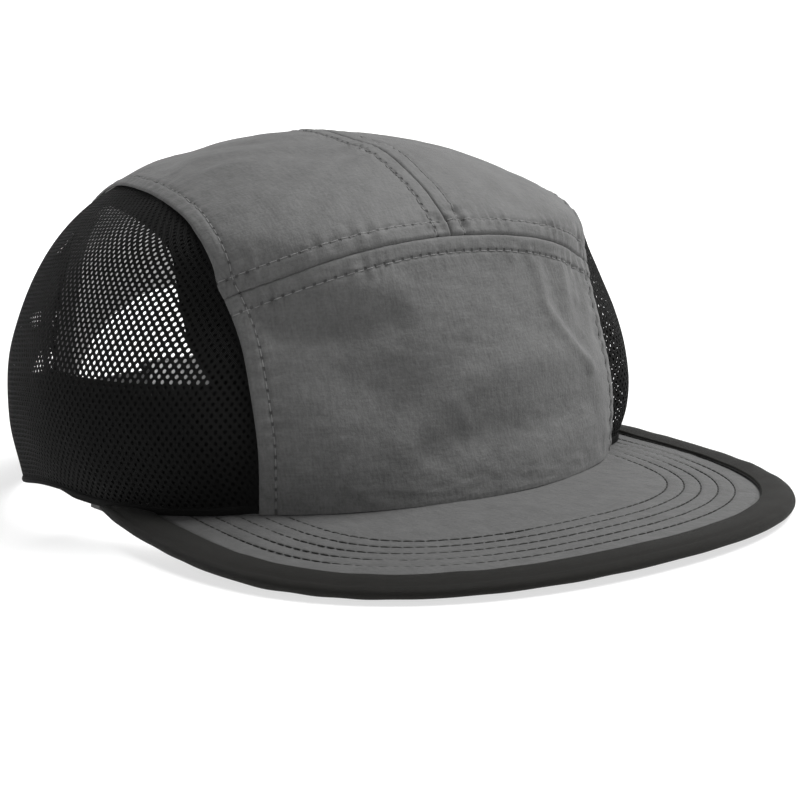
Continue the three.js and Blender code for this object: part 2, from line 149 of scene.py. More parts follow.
def bisect(test: Callable[[Array], Array], low: Array, high: Array) -> Array:
    """Finds where a test that starts true turns false.

    Args:
        test: Takes places and says which of them are still before the turn.
        low: Places where the test is true.
        high: Places where it is false.

    Returns:
        The turning place in each range.
    """
    for _ in range(HALVINGS):
        middle = (low + high) / 2
        before = test(middle)
        low = np.where(before, middle, low)
        high = np.where(before, high, middle)
    return (low + high) / 2


def unit(vectors: Array) -> Array:
    """The vectors at length 1."""
    return vectors / np.maximum(np.linalg.norm(vectors, axis=-1, keepdims=True), 1e-9)


def run_length(points: Array, axis: int = 0) -> Array:
    """The length travelled along an axis of a grid of points, from 0 at its start."""
    steps = np.linalg.norm(np.diff(points, axis=axis), axis=-1)
    start = np.zeros_like(np.take(steps, [0], axis=axis))
    return np.concatenate([start, np.cumsum(steps, axis=axis)], axis=axis)


def grid_normals(points: Array) -> Array:
    """Unit normals of a grid of points, towards the side where its rows go up as columns go right."""
    return unit(np.cross(np.gradient(points, axis=1), np.gradient(points, axis=0)))


def spacing(length: float, fine: float, coarse: float, near: float) -> Array:
    """Shares from 0 to 1 of a length, close together near both ends.

    Args:
        length: The length, in millimetres.
        fine: The step within near of an end.
        coarse: The step between.
        near: How far the fine steps reach.

    Returns:
        The rising shares.
    """
    edge = np.arange(0, near, fine)
    steps = round((length - 2 * near) / coarse)
    middle = np.linspace(near, length - near, steps + 1)
    return np.concatenate([edge, middle, length - edge[::-1]]) / length


def ripples(points: Array, wavelength: float, seed: int, count: int = 36) -> Array:
    """A soft random relief of many waves, the same each run, mostly between -2 and 2."""
    longest, shortest = 0.7, 1.4  # how many of each wave go to one wavelength
    random = np.random.default_rng(seed)
    ways = unit(random.normal(size=(count, 3))) * random.uniform(longest, shortest, (count, 1))
    phases = random.uniform(0, 2 * np.pi, count)
    waves = np.cos(points @ ways.T * (2 * np.pi / wavelength) + phases)
    return waves.sum(-1) * math.sqrt(2 / count)


def sample(table: Array, rows: Array, columns: Array, row: Array, column: Array) -> Array:
    """Reads a table between its places.

    Args:
        table: Values, or vectors, at each of rows and columns.
        rows: The rising places of its rows.
        columns: The rising places of its columns.
        row: Where to read, along the rows.
        column: Where to read, along the columns.

    Returns:
        The value blended from the four nearest places.
    """
    i = np.clip(np.searchsorted(rows, row) - 1, 0, len(rows) - 2)
    j = np.clip(np.searchsorted(columns, column) - 1, 0, len(columns) - 2)
    s = np.clip((row - rows[i]) / (rows[i + 1] - rows[i]), 0, 1)
    t = np.clip((column - columns[j]) / (columns[j + 1] - columns[j]), 0, 1)
    if table.ndim > 2:
        s, t = s[..., None], t[..., None]
    low = table[i, j] * (1 - t) + table[i, j + 1] * t
    high = table[i + 1, j] * (1 - t) + table[i + 1, j + 1] * t
    return low * (1 - s) + high * s


# The brim's surface and outline


@dataclass
class BrimShape:
    """The brim's outline and surface, with the same sizes as the frame's brim."""

    half_width: float = 92.4
    widest_y: float = -63.0
    length: float = 99.7
    side_power: float = 2.22
    front_power: float = 2.88
    taper: float = 10.0
    taper_length: float = 60.0
    slope: float = 0.0576
    droop: float = 4.1
    thickness: float = 2.4
    end_y: float = -20.0
    bound_half: float = 1.9  # half the thickness of the bound edge
    way: float = 2.5  # the outline's direction is taken over this length either way
    half_points: int = 2401
    outline: Array = field(init=False)
    runs: Array = field(init=False)
    rise: float = field(init=False)

    def __post_init__(self) -> None:
        """Works out the outline and puts its lowest place on the ground."""
        last = 1 + (self.end_y - self.widest_y) / self.taper_length
        half = self.plan(np.linspace(0, last, self.half_points))
        mirrored = half[:0:-1] * np.array([-1, 1])
        self.outline = np.concatenate([mirrored, half])
        runs = run_length(self.outline)
        self.runs = runs - runs[-1] / 2
        self.rise = self.bound_half - self.shape(half[:, 0], half[:, 1]).min()

    def plan(self, t: Array) -> Array:
        """The left half of the outline: 0 is the front, 1 the widest place, and more than 1 behind."""
        a = np.minimum(t, 1) * np.pi / 2
        k = np.maximum(t - 1, 0)
        x = self.half_width * np.sin(a) ** (2 / self.side_power) - self.taper * k * k
        y = self.widest_y - self.length * np.maximum(np.cos(a), 0) ** (2 / self.front_power)
        return np.stack([x, y + self.taper_length * k], -1)

    def shape(self, x: Array, y: Array) -> Array:
        """The brim's fall to the front and to the sides."""
        return self.slope * y - self.droop * (x / self.half_width) ** 2

    def top(self, x: Array, y: Array) -> Array:
        """The height of the brim's upper face."""
        return self.rise + self.shape(x, y) + self.thickness / 2

    def edge(self, part: Array, inset: Array) -> Array:
        """A place so far inside the outline, from part -1 at one end of it to 1 at the other."""
        run = part * self.runs[-1]
        at = lambda r: np.stack([np.interp(r, self.runs, self.outline[:, k]) for k in (0, 1)], -1)
        way = unit(at(run + self.way) - at(run - self.way))
        inward = np.stack([-way[..., 1], way[..., 0]], -1)
        return at(run) + inward * np.asarray(inset)[..., None]

    def lift(self, plan: Array, offset: Array) -> Array:
        """Places in plan put on the brim's middle surface, and so far above it."""
        x, y = plan[..., 0], plan[..., 1]
        return np.stack([x, y, self.rise + self.shape(x, y) + offset], -1)


# The crown's surface


class Section(NamedTuple):
    """A level section of the crown: the ends of its middle line, and how square its front is."""

    height: float
    half_width: float
    front: float
    back: float
    square: float


class SeamPlace(NamedTuple):
    """Half the width of the nylon panels at one place along the cap."""

    y: float
    half_width: float


class Dent(NamedTuple):
    """A soft dent of a face: its place, half size, turn in degrees, and depth, below 0 if proud."""

    face: str
    x: float
    at: float
    along: float
    across: float
    turn: float
    depth: float


class Fold(NamedTuple):
    """A fold of the cloth along a line of places, with its half width and its depth, below 0 if proud."""

    path: tuple[tuple[float, float, float], ...]
    half: float
    depth: float


SECTIONS = (
    Section(0, 90, -98.5, 93, 1.95),
    Section(20, 93.5, -94, 92.5, 2.05),
    Section(40, 92.5, -88.5, 89.5, 2.05),
    Section(60, 85.5, -81.8, 82.5, 2.2),
    Section(76.5, 74, -74.8, 75, 2.8),
    Section(89.5, 57.5, -60, 62, 2.5),
    Section(99, 36, -41, 41, 2.1),
    Section(104.5, 0, -4, -4, 2),
)
SIDE_SEAM = (
    SeamPlace(-90, 62.2),
    SeamPlace(-73, 60.9),
    SeamPlace(-66, 60.7),
    SeamPlace(-62, 61.8),
    SeamPlace(-58, 63.6),
    SeamPlace(-53, 63.9),
    SeamPlace(-46, 63.1),
    SeamPlace(-31, 61.7),
    SeamPlace(-8, 58.8),
    SeamPlace(8, 55.8),
    SeamPlace(23, 52.6),
    SeamPlace(50, 50),
    SeamPlace(100, 52),
)
DENTS = (
    Dent("front", -37, 44, 22, 11, -45, 2.6),
    Dent("front", -2, 50, 24, 10, 10, -1.0),
    Dent("front", 46, 52, 15, 4, 70, 1.0),
    Dent("front", -44, 14, 22, 7, 0, -0.8),
    Dent("top", -38, 8, 26, 7, 50, 1.5),
    Dent("top", -22, -38, 20, 9, 15, 1.2),
)
FOLDS = (
    Fold(((-57, -67, 55), (-47.4, -75, 53), (-36, -80.5, 52), (-24, -83, 54)), 4.2, 1.6),
    Fold(((-54, -68, 63), (-45.3, -72.4, 64.5), (-33.6, -77.2, 65), (-22, -81, 63)), 5.0, -1.2),
    Fold(((28, -78, 65), (28, -82, 54), (35.5, -83, 44), (44, -82, 35)), 2.2, -0.7),
    Fold(((33.5, -76, 62), (34, -80, 52), (42, -81, 42)), 3.2, 0.6),
    Fold(((40.5, -74, 64), (40, -77, 56.5)), 1.8, -0.45),
    Fold(((49, -71, 61), (46.5, -75, 53)), 1.8, -0.45),
    Fold(((-27, -91, 24), (-8, -91, 37), (13, -90, 40), (45, -82, 39)), 5.5, -1.1),
    Fold(((-19, -94, 21), (-5, -94.5, 24), (17, -93, 23), (42, -85, 26)), 5.0, 1.1),
    Fold(((-50, 8, 93), (-34.5, -1, 99), (-23, -17, 101)), 5.0, 0.5),
    Fold(((-45, -20.5, 95), (-22, -36, 98.5), (-11, -45, 97.5)), 5.0, 0.5),
    Fold(((-55, -53, 83), (-19, -57, 91)), 3.2, -0.5),
)


def blend_down(values: Sequence[float], place: Array, mirrored: bool) -> Array:
    """Blends smoothly down a short column of numbers.

    Args:
        values: One number for each section.
        place: Where to read, counted in sections.
        mirrored: True if the column goes on past its end at the same slope.

    Returns:
        The blended numbers.
    """
    last, before_last = values[-1], values[-2]
    past = 2 * last - before_last if mirrored else before_last
    column = np.array([2 * values[0] - values[1], *values, past], float)
    i = np.clip(np.floor(place).astype(int), 0, len(values) - 2)
    t = place - i
    before, a, b, after = (column[i + k] for k in range(4))
    cubic = 3 * (a - b) + after - before
    return a + 0.5 * t * (b - before + t * (2 * before - 5 * a + 4 * b - after + t * cubic))


def seam_half_width(y: Array) -> Array:
    """Half the width of the nylon panels at each place along the cap, on a smooth curve."""
    places = np.array([row.y for row in SIDE_SEAM], float)
    widths = np.array([row.half_width for row in SIDE_SEAM])
    slopes = np.gradient(widths, places)
    k = np.clip(np.searchsorted(places, y, side="right"), 1, len(places) - 1) - 1
    step = places[k + 1] - places[k]
    t = np.clip((y - places[k]) / step, 0, 1)
    rise = t * t * (3 - 2 * t)
    start = t * (1 - t) ** 2 * step * slopes[k]
    end = t * t * (t - 1) * step * slopes[k + 1]
    return widths[k] * (1 - rise) + widths[k + 1] * rise + start + end


@dataclass
class Crown:
    """The crown's outer surface. A place is a level, counted in sections, and a turn from +X."""

    brim: BrimShape
    centre: float = -4.0
    back_square: float = 2.05
    rim_lift: float = 0.7  # the front rim's height over the brim
    low_from: float = 55.0  # the rim has come down to the ground by here
    reach_down: float = 1.0  # the cloth goes down past the rim by this much, where the brim is
    strip_half: float = 60.0  # mean half width of the nylon panels
    seam_height: float = 75.2  # the seam across the front, at the middle
    seam_drop: float = 11.3
    seam_reach: float = 58.0
    seam_power: float = 2.2
    arch_half: float = 44.0
    arch_straight: float = 12.0
    arch_height: float = 52.0
    arch_corner: float = 0.3  # beside the arch the strip's end drops to the rim within this
    shoulder: tuple[float, float] = (0.5, 0.8)  # a normal's rise where the front turns into the top
    bend_from: float = 0.4  # the top's rows bend to the arch from this share of their length
    lip_back: float = 4.0  # in front of the brim's end by this much, the rim lies wholly on the brim
    lip_end: float = 6.0  # and behind it by this much, not at all
    widest_line: float = 73.0
    line_step: float = 0.5
    fine_line_step: float = 0.05  # from one line to the next beside the arch's leg
    line_points: int = 480  # on either half of a line
    share_points: int = 901
    strip_rounds: int = 8
    reach: Array = field(init=False)
    share: Array = field(init=False)
    strip_y: Array = field(init=False)
    strip_z: Array = field(init=False)
    total: Array = field(init=False)
    seam_at: Array = field(init=False)
    arch_at: Array = field(init=False)

    def __post_init__(self) -> None:
        """Measures lines that keep their distance from the middle, from the front rim to the back."""
        steps = self.line_points
        near_arch = np.arange(self.arch_half - 1, self.arch_half + 1, self.fine_line_step)
        reach = np.concatenate([np.arange(0, self.widest_line, self.line_step), near_arch])
        self.reach = np.unique(np.maximum(reach, 1e-3).round(3))
        wide = lambda level: self.section(level).half_width > self.reach
        top = bisect(wide, np.ones_like(self.reach), np.full_like(self.reach, len(SECTIONS) - 1.0))
        way = np.linspace(-1, 1, 2 * steps + 1)
        level = top[:, None] * (1 - way**2)
        ring = self.section(level)
        square = np.where(way < 0, ring.square, self.back_square)
        cosine = np.clip(self.reach[:, None] / np.maximum(ring.half_width, 1e-6), 0, 1)
        angle = np.arccos(cosine ** (square / 2))
        points = self.point(level, np.where(way < 0, -angle, angle))
        runs = run_length(points, axis=1)
        self.total = runs[:, -1]
        self.share = np.linspace(0, 1, self.share_points)
        ask = self.share * self.total[:, None]
        read = lambda k: np.array([np.interp(a, r, p) for a, r, p in zip(ask, runs, points[..., k])])
        self.strip_y, self.strip_z = read(1), read(2)
        height = self.seam_height - self.seam_drop * (self.reach / self.seam_reach) ** self.seam_power
        rising = slice(0, steps)
        falling = slice(2 * steps, steps, -1)
        reads = zip(height, points[..., 2], runs)
        self.seam_at = np.array([np.interp(h, z[rising], r[rising]) for h, z, r in reads])
        reads = zip(self.arch(self.reach), points[..., 2], runs)
        arch_at = np.array([np.interp(h, z[falling], r[falling]) for h, z, r in reads])
        corner = self.arch_corner
        past = smoothstep(self.reach, self.arch_half - corner, self.arch_half + corner)
        self.arch_at = arch_at + (self.total - arch_at) * past

    def section(self, level: Array) -> Section:
        """The blended section at each level."""
        column = lambda name, mirrored: blend_down(
            [getattr(row, name) for row in SECTIONS], level, mirrored
        )
        return Section(
            column("height", False),
            np.maximum(column("half_width", True), 0),
            column("front", True),
            column("back", True),
            column("square", False),
        )

    def arch(self, x: Array) -> Array:
        """The height of the back opening's edge at a distance from the middle."""
        rise = self.arch_height - self.arch_straight
        inside = np.clip(1 - (x / self.arch_half) ** 2, 0, 1)
        return self.arch_straight + rise * np.sqrt(inside)

    def plan(self, ring: Section, turn: Array) -> tuple[Array, Array]:
        """Where a section lies in plan at each turn."""
        c, s = np.cos(turn), np.sin(turn)
        power = 2 / np.where(s < 0, ring.square, self.back_square)
        half = np.where(s < 0, self.centre - ring.front, ring.back - self.centre)
        x = ring.half_width * np.sign(c) * np.abs(c) ** power
        return x, self.centre + half * np.sign(s) * np.abs(s) ** power

    def front_share(self, y: Array) -> Array:
        """1 where the rim lies on the brim, falling to 0 at the back."""
        return 1 - smoothstep(y, self.brim.end_y, self.low_from)

    def rim_height(self, turn: Array) -> Array:
        """The rim's height, on the brim at the front and on the ground at the back."""
        x, y = self.plan(SECTIONS[0], turn)
        on_brim = self.brim.top(x, np.minimum(y, self.brim.end_y)) + self.rim_lift
        return on_brim * self.front_share(y)

    def down_to_brim(self, points: Array) -> Array:
        """The move that takes points of the rim down to the brim, where there is one."""
        end = self.brim.end_y
        over = 1 - smoothstep(points[..., 1], end - self.lip_back, end + self.lip_end)
        return over[..., None] * np.array([0, 0, -self.reach_down])

    def point(self, level: Array, turn: Array) -> Array:
        """The crown's surface at each level and turn."""
        ring = self.section(level)
        x, y = self.plan(ring, turn)
        share = 1 - ring.height / SECTIONS[-1].height
        return np.stack(np.broadcast_arrays(x, y, ring.height + self.rim_height(turn) * share), -1)

    def level_at(self, turn: Array, height: Array) -> Array:
        """The level at which the crown reaches a height."""
        turn, height = np.broadcast_arrays(turn, height)
        low = np.zeros(turn.shape)
        high = np.full(turn.shape, len(SECTIONS) - 1.0)
        return bisect(lambda level: self.point(level, turn)[..., 2] < height, low, high)

    def back_turn(self, x: Array) -> Array:
        """The turn at which the rim's back half is at x."""
        low, high = np.full(np.shape(x), np.pi), np.zeros(np.shape(x))
        return bisect(lambda turn: self.plan(SECTIONS[0], turn)[0] < x, low, high)

    def from_rim(self, reach: Array) -> Array:
        """The nylon strip's start, at the front rim."""
        return np.zeros_like(reach)

    def at_seam(self, reach: Array) -> Array:
        """The length from the front rim to the seam across the front."""
        return np.interp(reach, self.reach, self.seam_at)

    def to_rim(self, reach: Array) -> Array:
        """The length from the front rim to the back rim."""
        return np.interp(reach, self.reach, self.total)

    def to_arch(self, reach: Array) -> Array:
        """The length from the front rim to the back opening, or to the back rim beside it."""
        return np.interp(reach, self.reach, self.arch_at)

    def to_height(self, height: float, falling: bool) -> Callable[[Array], Array]:
        """The length from the front rim to where the strip passes a height, going up or coming down."""
        lengths = []
        for z, total in zip(self.strip_z, self.total):
            above = np.flatnonzero(z > height)
            lengths.append(self.share[above[-1] if falling else above[0]] * total)
        return lambda reach: np.interp(reach, self.reach, np.array(lengths))

    def strip(
        self,
        across: Array,
        part: Array,
        start: Callable[[Array], Array],
        end: Callable[[Array], Array],
        nominal: Callable[[Array], Array] | None = None,
    ) -> Array:
        """Places on the nylon strip.

        Args:
            across: -1 and 1 at the side seams, and more than that outside them.
            part: 0 at start and 1 at end.
            start: Gives the length from the front rim at which the strip starts, for each x.
            end: Gives the length at which it ends.
            nominal: Gives the end that the rows keep to, until they bend to the true one.

        Returns:
            The points, on the crown's smooth surface.
        """
        bend = smoothstep(part, self.bend_from, 1)
        y = np.full(np.broadcast(across, part).shape, SIDE_SEAM[0].y, float)
        for _ in range(self.strip_rounds):
            x = across * seam_half_width(y)
            reach = np.abs(x)
            low = start(reach)
            full = (nominal or end)(reach)
            length = low + (full - low) * part + (end(reach) - full) * bend
            share = length / self.to_rim(reach)
            y = sample(self.strip_y, self.reach, self.share, reach, share)
        z = sample(self.strip_z, self.reach, self.share, reach, share)
        return np.stack([x, y, z], -1)

    def dent_depth(self, points: Array, normals: Array) -> Array:
        """How deep the cloth is dented and folded at each point."""
        top = smoothstep(normals[..., 2], *self.shoulder)
        front = np.where(points[..., 1] < 0, 1 - top, 0)
        depth = np.zeros(points.shape[:-1])
        for dent in DENTS:
            on_front = dent.face == "front"
            a = math.radians(dent.turn)
            x = points[..., 0] - dent.x
            at = points[..., 2 if on_front else 1] - dent.at
            along = x * math.cos(a) + at * math.sin(a)
            across = at * math.cos(a) - x * math.sin(a)
            bump = bell(along, dent.along) * bell(across, dent.across)
            depth += dent.depth * bump * (front if on_front else top)
        for fold in FOLDS:
            path = np.array(fold.path, float)
            nearest = np.full(points.shape[:-1], np.inf)
            for a, b in zip(path[:-1], path[1:]):
                t = np.clip((points - a) @ (b - a) / ((b - a) @ (b - a)), 0, 1)
                gap = points - a - t[..., None] * (b - a)
                nearest = np.minimum(nearest, np.linalg.norm(gap, axis=-1))
            depth += fold.depth * bell(nearest, fold.half)
        return depth


# Meshes


def clear_selection() -> None:
    """Leaves nothing selected."""
    bpy.ops.object.select_all(action="DESELECT")


def make_active(piece: bpy.types.Object) -> None:
    """Selects one piece alone and makes it the active one."""
    clear_selection()
    bpy.context.view_layer.objects.active = piece
    piece.select_set(True)


def link_object(name: str, data: bpy.types.ID) -> bpy.types.Object:
    """A new object with this data, in the scene."""
    made = bpy.data.objects.new(name, data)
    bpy.context.scene.collection.objects.link(made)
    return made


def place_in_metres(points: Array) -> Array:
    """Points of the crown in the shared frame."""
    return (points + np.array([0, CENTRE_Y, 0])) * MM


def apply_modifier(piece: bpy.types.Object, kind: str, **settings: object) -> None:
    """Adds a modifier with these settings and applies it."""
    make_active(piece)
    modifier = piece.modifiers.new(kind.title(), kind)
    for name, value in settings.items():
        setattr(modifier, name, value)
    bpy.ops.object.modifier_apply(modifier=modifier.name)


def smooth(piece: bpy.types.Object, angle: float = 50) -> None:
    """Shades a piece smooth, but for edges sharper than the angle in degrees."""
    make_active(piece)
    bpy.ops.object.shade_smooth_by_angle(angle=math.radians(angle))


def set_attribute(mesh: bpy.types.Mesh, name: str, values: Array) -> None:
    """Writes a vector for each vertex of a mesh, for its material to read."""
    made = mesh.attributes.new(name, "FLOAT_VECTOR", "POINT")
    made.data.foreach_set("vector", values.reshape(-1, 3).astype(np.float32).ravel())


def weave_map(points: Array) -> Array:
    """Lengths across and along a grid of points, from its middle, for a weave to follow."""
    across = run_length(points, axis=1)
    along = run_length(points, axis=0)
    across = across - across[:, -1:] / 2
    return np.stack([across, along, np.zeros_like(along)], -1)


def cloth_piece(
    name: str, points: Array, wall: float, facts: dict[str, Array] | None = None
) -> bpy.types.Object:
    """Makes a piece of cloth from a grid primitive, with its outer face on the given points.

    Args:
        name: The piece's name.
        points: Rows and columns of points on its outer face, in millimetres.
        wall: Its thickness, which goes inwards.
        facts: A vector for each point, by the name that the material reads.

    Returns:
        The finished object, closed and shaded smooth.
    """
    rows, columns = points.shape[:2]
    clear_selection()
    bpy.ops.mesh.primitive_grid_add(x_subdivisions=columns - 1, y_subdivisions=rows - 1, size=1)
    piece = bpy.context.object
    piece.name = name
    piece.data.vertices.foreach_set("co", place_in_metres(points).astype(np.float32).ravel())
    facts = {"weave": weave_map(points), **(facts or {})}
    for key, values in facts.items():
        set_attribute(piece.data, key, values)
    piece.data.update()
    apply_modifier(piece, "SOLIDIFY", thickness=wall * MM, offset=-1)
    smooth(piece)
    return piece


def facing_out(points: Array, centre: Sequence[float]) -> bool:
    """True if a grid's normals mostly point away from a place."""
    outward = points - np.array(centre)
    return float((grid_normals(points) * outward).sum(-1).mean()) > 0


def crown_cloth(
    name: str, crown: Crown, points: Array, depth: float, wall: float, relief: Array | float = 0.0
) -> bpy.types.Object:
    """Makes a piece of cloth that lies under the crown's surface.

    Args:
        name: The piece's name.
        crown: The crown, whose dents the piece follows.
        points: Rows and columns of points on the crown's smooth surface.
        depth: How deep under it the piece lies.
        wall: The piece's thickness.
        relief: How far it stands out at each point.

    Returns:
        The finished object.
    """
    height = np.broadcast_to(relief, points.shape[:2]) - depth
    if not facing_out(points, CROWN_MIDDLE):
        points, height = points[:, ::-1], height[:, ::-1]
    normals = grid_normals(points)
    height = height - crown.dent_depth(points, normals)
    return cloth_piece(name, points + normals * height[..., None], wall)


# Stitches


@dataclass
class Stitching:
    """Rows of stitches, each stitch a short thread that dips into the cloth at its ends."""

    pitch: float = 2.85
    length: float = 2.4
    width: float = 0.32
    proud: float = 0.06
    centres: list[Array] = field(default_factory=list)
    frames: list[Array] = field(default_factory=list)

    def add(self, line: Array, normals: Array, runs: Array | None = None) -> None:
        """Adds one row of stitches.

        Args:
            line: Points along the row, on the cloth.
            normals: The cloth's normal at each.
            runs: The length along the row at each, where the needle holes count it otherwise.
        """
        runs = run_length(line) if runs is None else runs
        middles = np.arange(self.pitch / 2, runs[-1] - self.pitch / 2, self.pitch)
        at = lambda grid, run: np.stack([np.interp(run, runs, grid[:, k]) for k in range(3)], -1)
        way = unit(at(line, middles + self.length / 2) - at(line, middles - self.length / 2))
        up = at(normals, middles)
        up = unit(up - way * (up * way).sum(-1, keepdims=True))
        self.centres.append(at(line, middles) + up * self.proud)
        self.frames.append(np.stack([way, np.cross(up, way), up], 1))

    def build(self, name: str) -> bpy.types.Object:
        """Joins every stitch into one piece."""
        clear_selection()
        bpy.ops.mesh.primitive_uv_sphere_add(segments=6, ring_count=4, radius=0.5)
        one = bpy.context.object
        shape = np.array([tuple(v.co) for v in one.data.vertices])[:, [2, 0, 1]]
        faces = [list(polygon.vertices) for polygon in one.data.polygons]
        bpy.data.objects.remove(one)
        shape = shape * np.array([self.length, self.width, self.width])
        centres = np.concatenate(self.centres)
        frames = np.concatenate(self.frames)
        points = centres[:, None] + shape @ frames
        count = len(shape)
        all_faces = [[k + i * count for k in face] for i in range(len(centres)) for face in faces]
        mesh = bpy.data.meshes.new(name)
        mesh.from_pydata(place_in_metres(points).reshape(-1, 3), [], all_faces)
        set_attribute(mesh, "weave", np.broadcast_to(shape, points.shape))
        piece = link_object(name, mesh)
        make_active(piece)
        bpy.ops.object.mode_set(mode="EDIT")
        bpy.ops.mesh.select_all(action="SELECT")
        bpy.ops.mesh.normals_make_consistent(inside=False)
        bpy.ops.object.mode_set(mode="OBJECT")
        smooth(piece, angle=80)
        return piece


@dataclass(frozen=True)
class SeamShape:
    """How cloth lies at a sewn edge, by the distance from the edge."""

    fold: float = 0.42  # radius of the folded edge
    stitch: float = 4.5  # the row of stitches lies this far in
    rise: float = 0.2  # the layers under it lift the cloth by this much
    rise_by: float = 1.2  # it has risen by this far from the edge
    fall_from: float = 1.0  # and falls from this far before the stitches
    fall_by: float = 0.8  # to this far past them
    groove: float = 0.3
    groove_half: float = 0.65
    pucker: float = 0.32
    pucker_pitch: float = 4.4
    pucker_half: float = 3.4  # how far to either side of the stitches the puckers go
    wander: float = 1.2  # how far a pucker strays from its pitch
    wander_wave: float = 22.0
    strength_wave: float = 17.0
    strength: tuple[float, float] = (0.6, 0.4)  # the puckers' mean strength and its change
    strongest: float = 1.5
    waves: int = 12
    turned: float = 0.9  # the folded edge goes down by this much more

    def height(self, away: Array, run: Array, seed: int) -> Array:
        """How far the cloth stands out.

        Args:
            away: The distance from the edge.
            run: The length along it.
            seed: Gives each seam its own puckers.

        Returns:
            The height over the smooth surface.
        """
        inside = np.clip(away / self.fold, 0, 1)
        rounded = -self.fold * (1 - np.sqrt(1 - (1 - inside) ** 2))
        layers = smoothstep(away, 0, self.rise_by)
        layers = layers - smoothstep(away, self.stitch - self.fall_from, self.stitch + self.fall_by)
        groove = -self.groove * bell(away - self.stitch, self.groove_half)
        line = np.stack([run, np.zeros_like(run), np.zeros_like(run)], -1)
        wander = self.wander * ripples(line, self.wander_wave, seed, self.waves)
        mean, change = self.strength
        change = change * ripples(line, self.strength_wave, seed + 1, self.waves)
        strength = np.clip(mean + change, 0, self.strongest)
        wave = np.sin(2 * np.pi * (run + wander) / self.pucker_pitch)
        pucker = self.pucker * strength * wave * bell(away - self.stitch, self.pucker_half)
        return rounded + self.rise * layers + groove + pucker


def line_where(grid: Array, away: Array, distance: float) -> Array:
    """The place in each row of a grid where the distance from its first column has a value."""
    column = lambda row, k: np.interp(distance, away[row], grid[row, :, k])
    return np.array([[column(row, k) for k in range(3)] for row in range(len(grid))])


@dataclass
class Panel:
    """A nylon panel on its way from a smooth grid to sewn cloth."""

    base: Array
    normals: Array = field(init=False)
    height: Array = field(init=False)
    facts: dict[str, Array] = field(default_factory=dict)
    rows: list[tuple[Edge, Array, Array, SeamShape]] = field(default_factory=list)

    def __post_init__(self) -> None:
        """Starts with no relief."""
        self.normals = grid_normals(self.base)
        self.height = np.zeros(self.base.shape[:2])

    def note(self, name: str, away: Array, run: Array) -> None:
        """Keeps the distance from the nearest of the edges of one name, and the length along it."""
        fact = np.stack(np.broadcast_arrays(away, run, 0.0), -1)
        known = self.facts.get(name)
        if known is not None:
            fact = np.where(fact[..., :1] < known[..., :1], fact, known)
        self.facts[name] = fact

    def sew(self, edge: Edge, shape: SeamShape, name: str, seed: int) -> None:
        """Gives one edge its fold, its raised layers and its groove of stitches."""
        grid = edge.face(self.base)
        away = run_length(grid, axis=1)
        run = run_length(line_where(grid, away, shape.stitch))
        along = np.broadcast_to(run[:, None], away.shape)
        self.height += edge.restore(shape.height(away, along, seed))
        self.note(name, edge.restore(away), edge.restore(along))
        self.rows.append((edge, away, run, shape))

    def shaped(self) -> Array:
        """The cloth's outer face."""
        return self.base + self.normals * self.height[..., None]

    def stitch(self, stitching: Stitching) -> None:
        """Puts a row of stitches along each sewn edge."""
        points = self.shaped()
        normals = grid_normals(points)
        for edge, away, run, shape in self.rows:
            line = line_where(edge.face(points), away, shape.stitch)
            up = line_where(edge.face(normals), away, shape.stitch)
            stitching.add(line, up, run)

    def turned_in(self, edges: dict[Edge, Array]) -> tuple[Array, dict[str, Array]]:
        """The cloth with one more row or column past an edge, moved by the given vectors."""
        grids = {"points": self.shaped(), **self.facts}
        moves = {edge: np.broadcast_to(move, self.base.shape) for edge, move in edges.items()}
        for edge in edges:
            widen = lambda grid: edge.restore(
                np.concatenate([edge.face(grid)[:, :1], edge.face(grid)], axis=1)
            )
            grids = {name: widen(grid) for name, grid in grids.items()}
            moves = {other: widen(move) for other, move in moves.items()}
            first = edge.face(grids["points"])[:, :1]
            first += edge.face(moves[edge])[:, :1]
        return grids.pop("points"), grids


# Materials


class Value:
    """A socket of a material, with the operators that add Math nodes."""

    def __init__(self, shader: "Shader", socket: bpy.types.NodeSocket) -> None:
        """Wraps a socket of a shader's node."""
        self.shader = shader
        self.socket = socket

    def math(self, operation: str, *others: object) -> "Value":
        """Adds a Math node on this value and others."""
        inputs = dict(enumerate([self, *others]))
        return self.shader.node("ShaderNodeMath", {"operation": operation}, inputs)

    def __add__(self, other: object) -> "Value":
        """self + other"""
        return self.math("ADD", other)

    __radd__ = __add__

    def __mul__(self, other: object) -> "Value":
        """self * other"""
        return self.math("MULTIPLY", other)

    __rmul__ = __mul__

    def __sub__(self, other: object) -> "Value":
        """self - other"""
        return self.math("SUBTRACT", other)

    def __rsub__(self, other: float) -> "Value":
        """other - self"""
        return self.math("MULTIPLY", -1.0) + other

    def __truediv__(self, other: object) -> "Value":
        """self / other"""
        return self.math("DIVIDE", other)

    def __abs__(self) -> "Value":
        """The value without its sign."""
        return self.math("ABSOLUTE")

    def sine(self) -> "Value":
        """The sine of an angle in radians."""
        return self.math("SINE")

    def within(self, distance: float, soft: float) -> "Value":
        """1 where the value is nearer to 0 than a distance, fading to 0 over a soft edge."""
        return ((distance + soft - abs(self)) / soft).clamped()

    def clamped(self) -> "Value":
        """The value kept from 0 to 1."""
        return self.math("MAXIMUM", 0.0).math("MINIMUM", 1.0)

    def from_middle(self, pitch: float) -> "Value":
        """The distance from the nearest whole number of pitches."""
        return (self / pitch + 0.5).math("FRACT").math("SUBTRACT", 0.5) * pitch


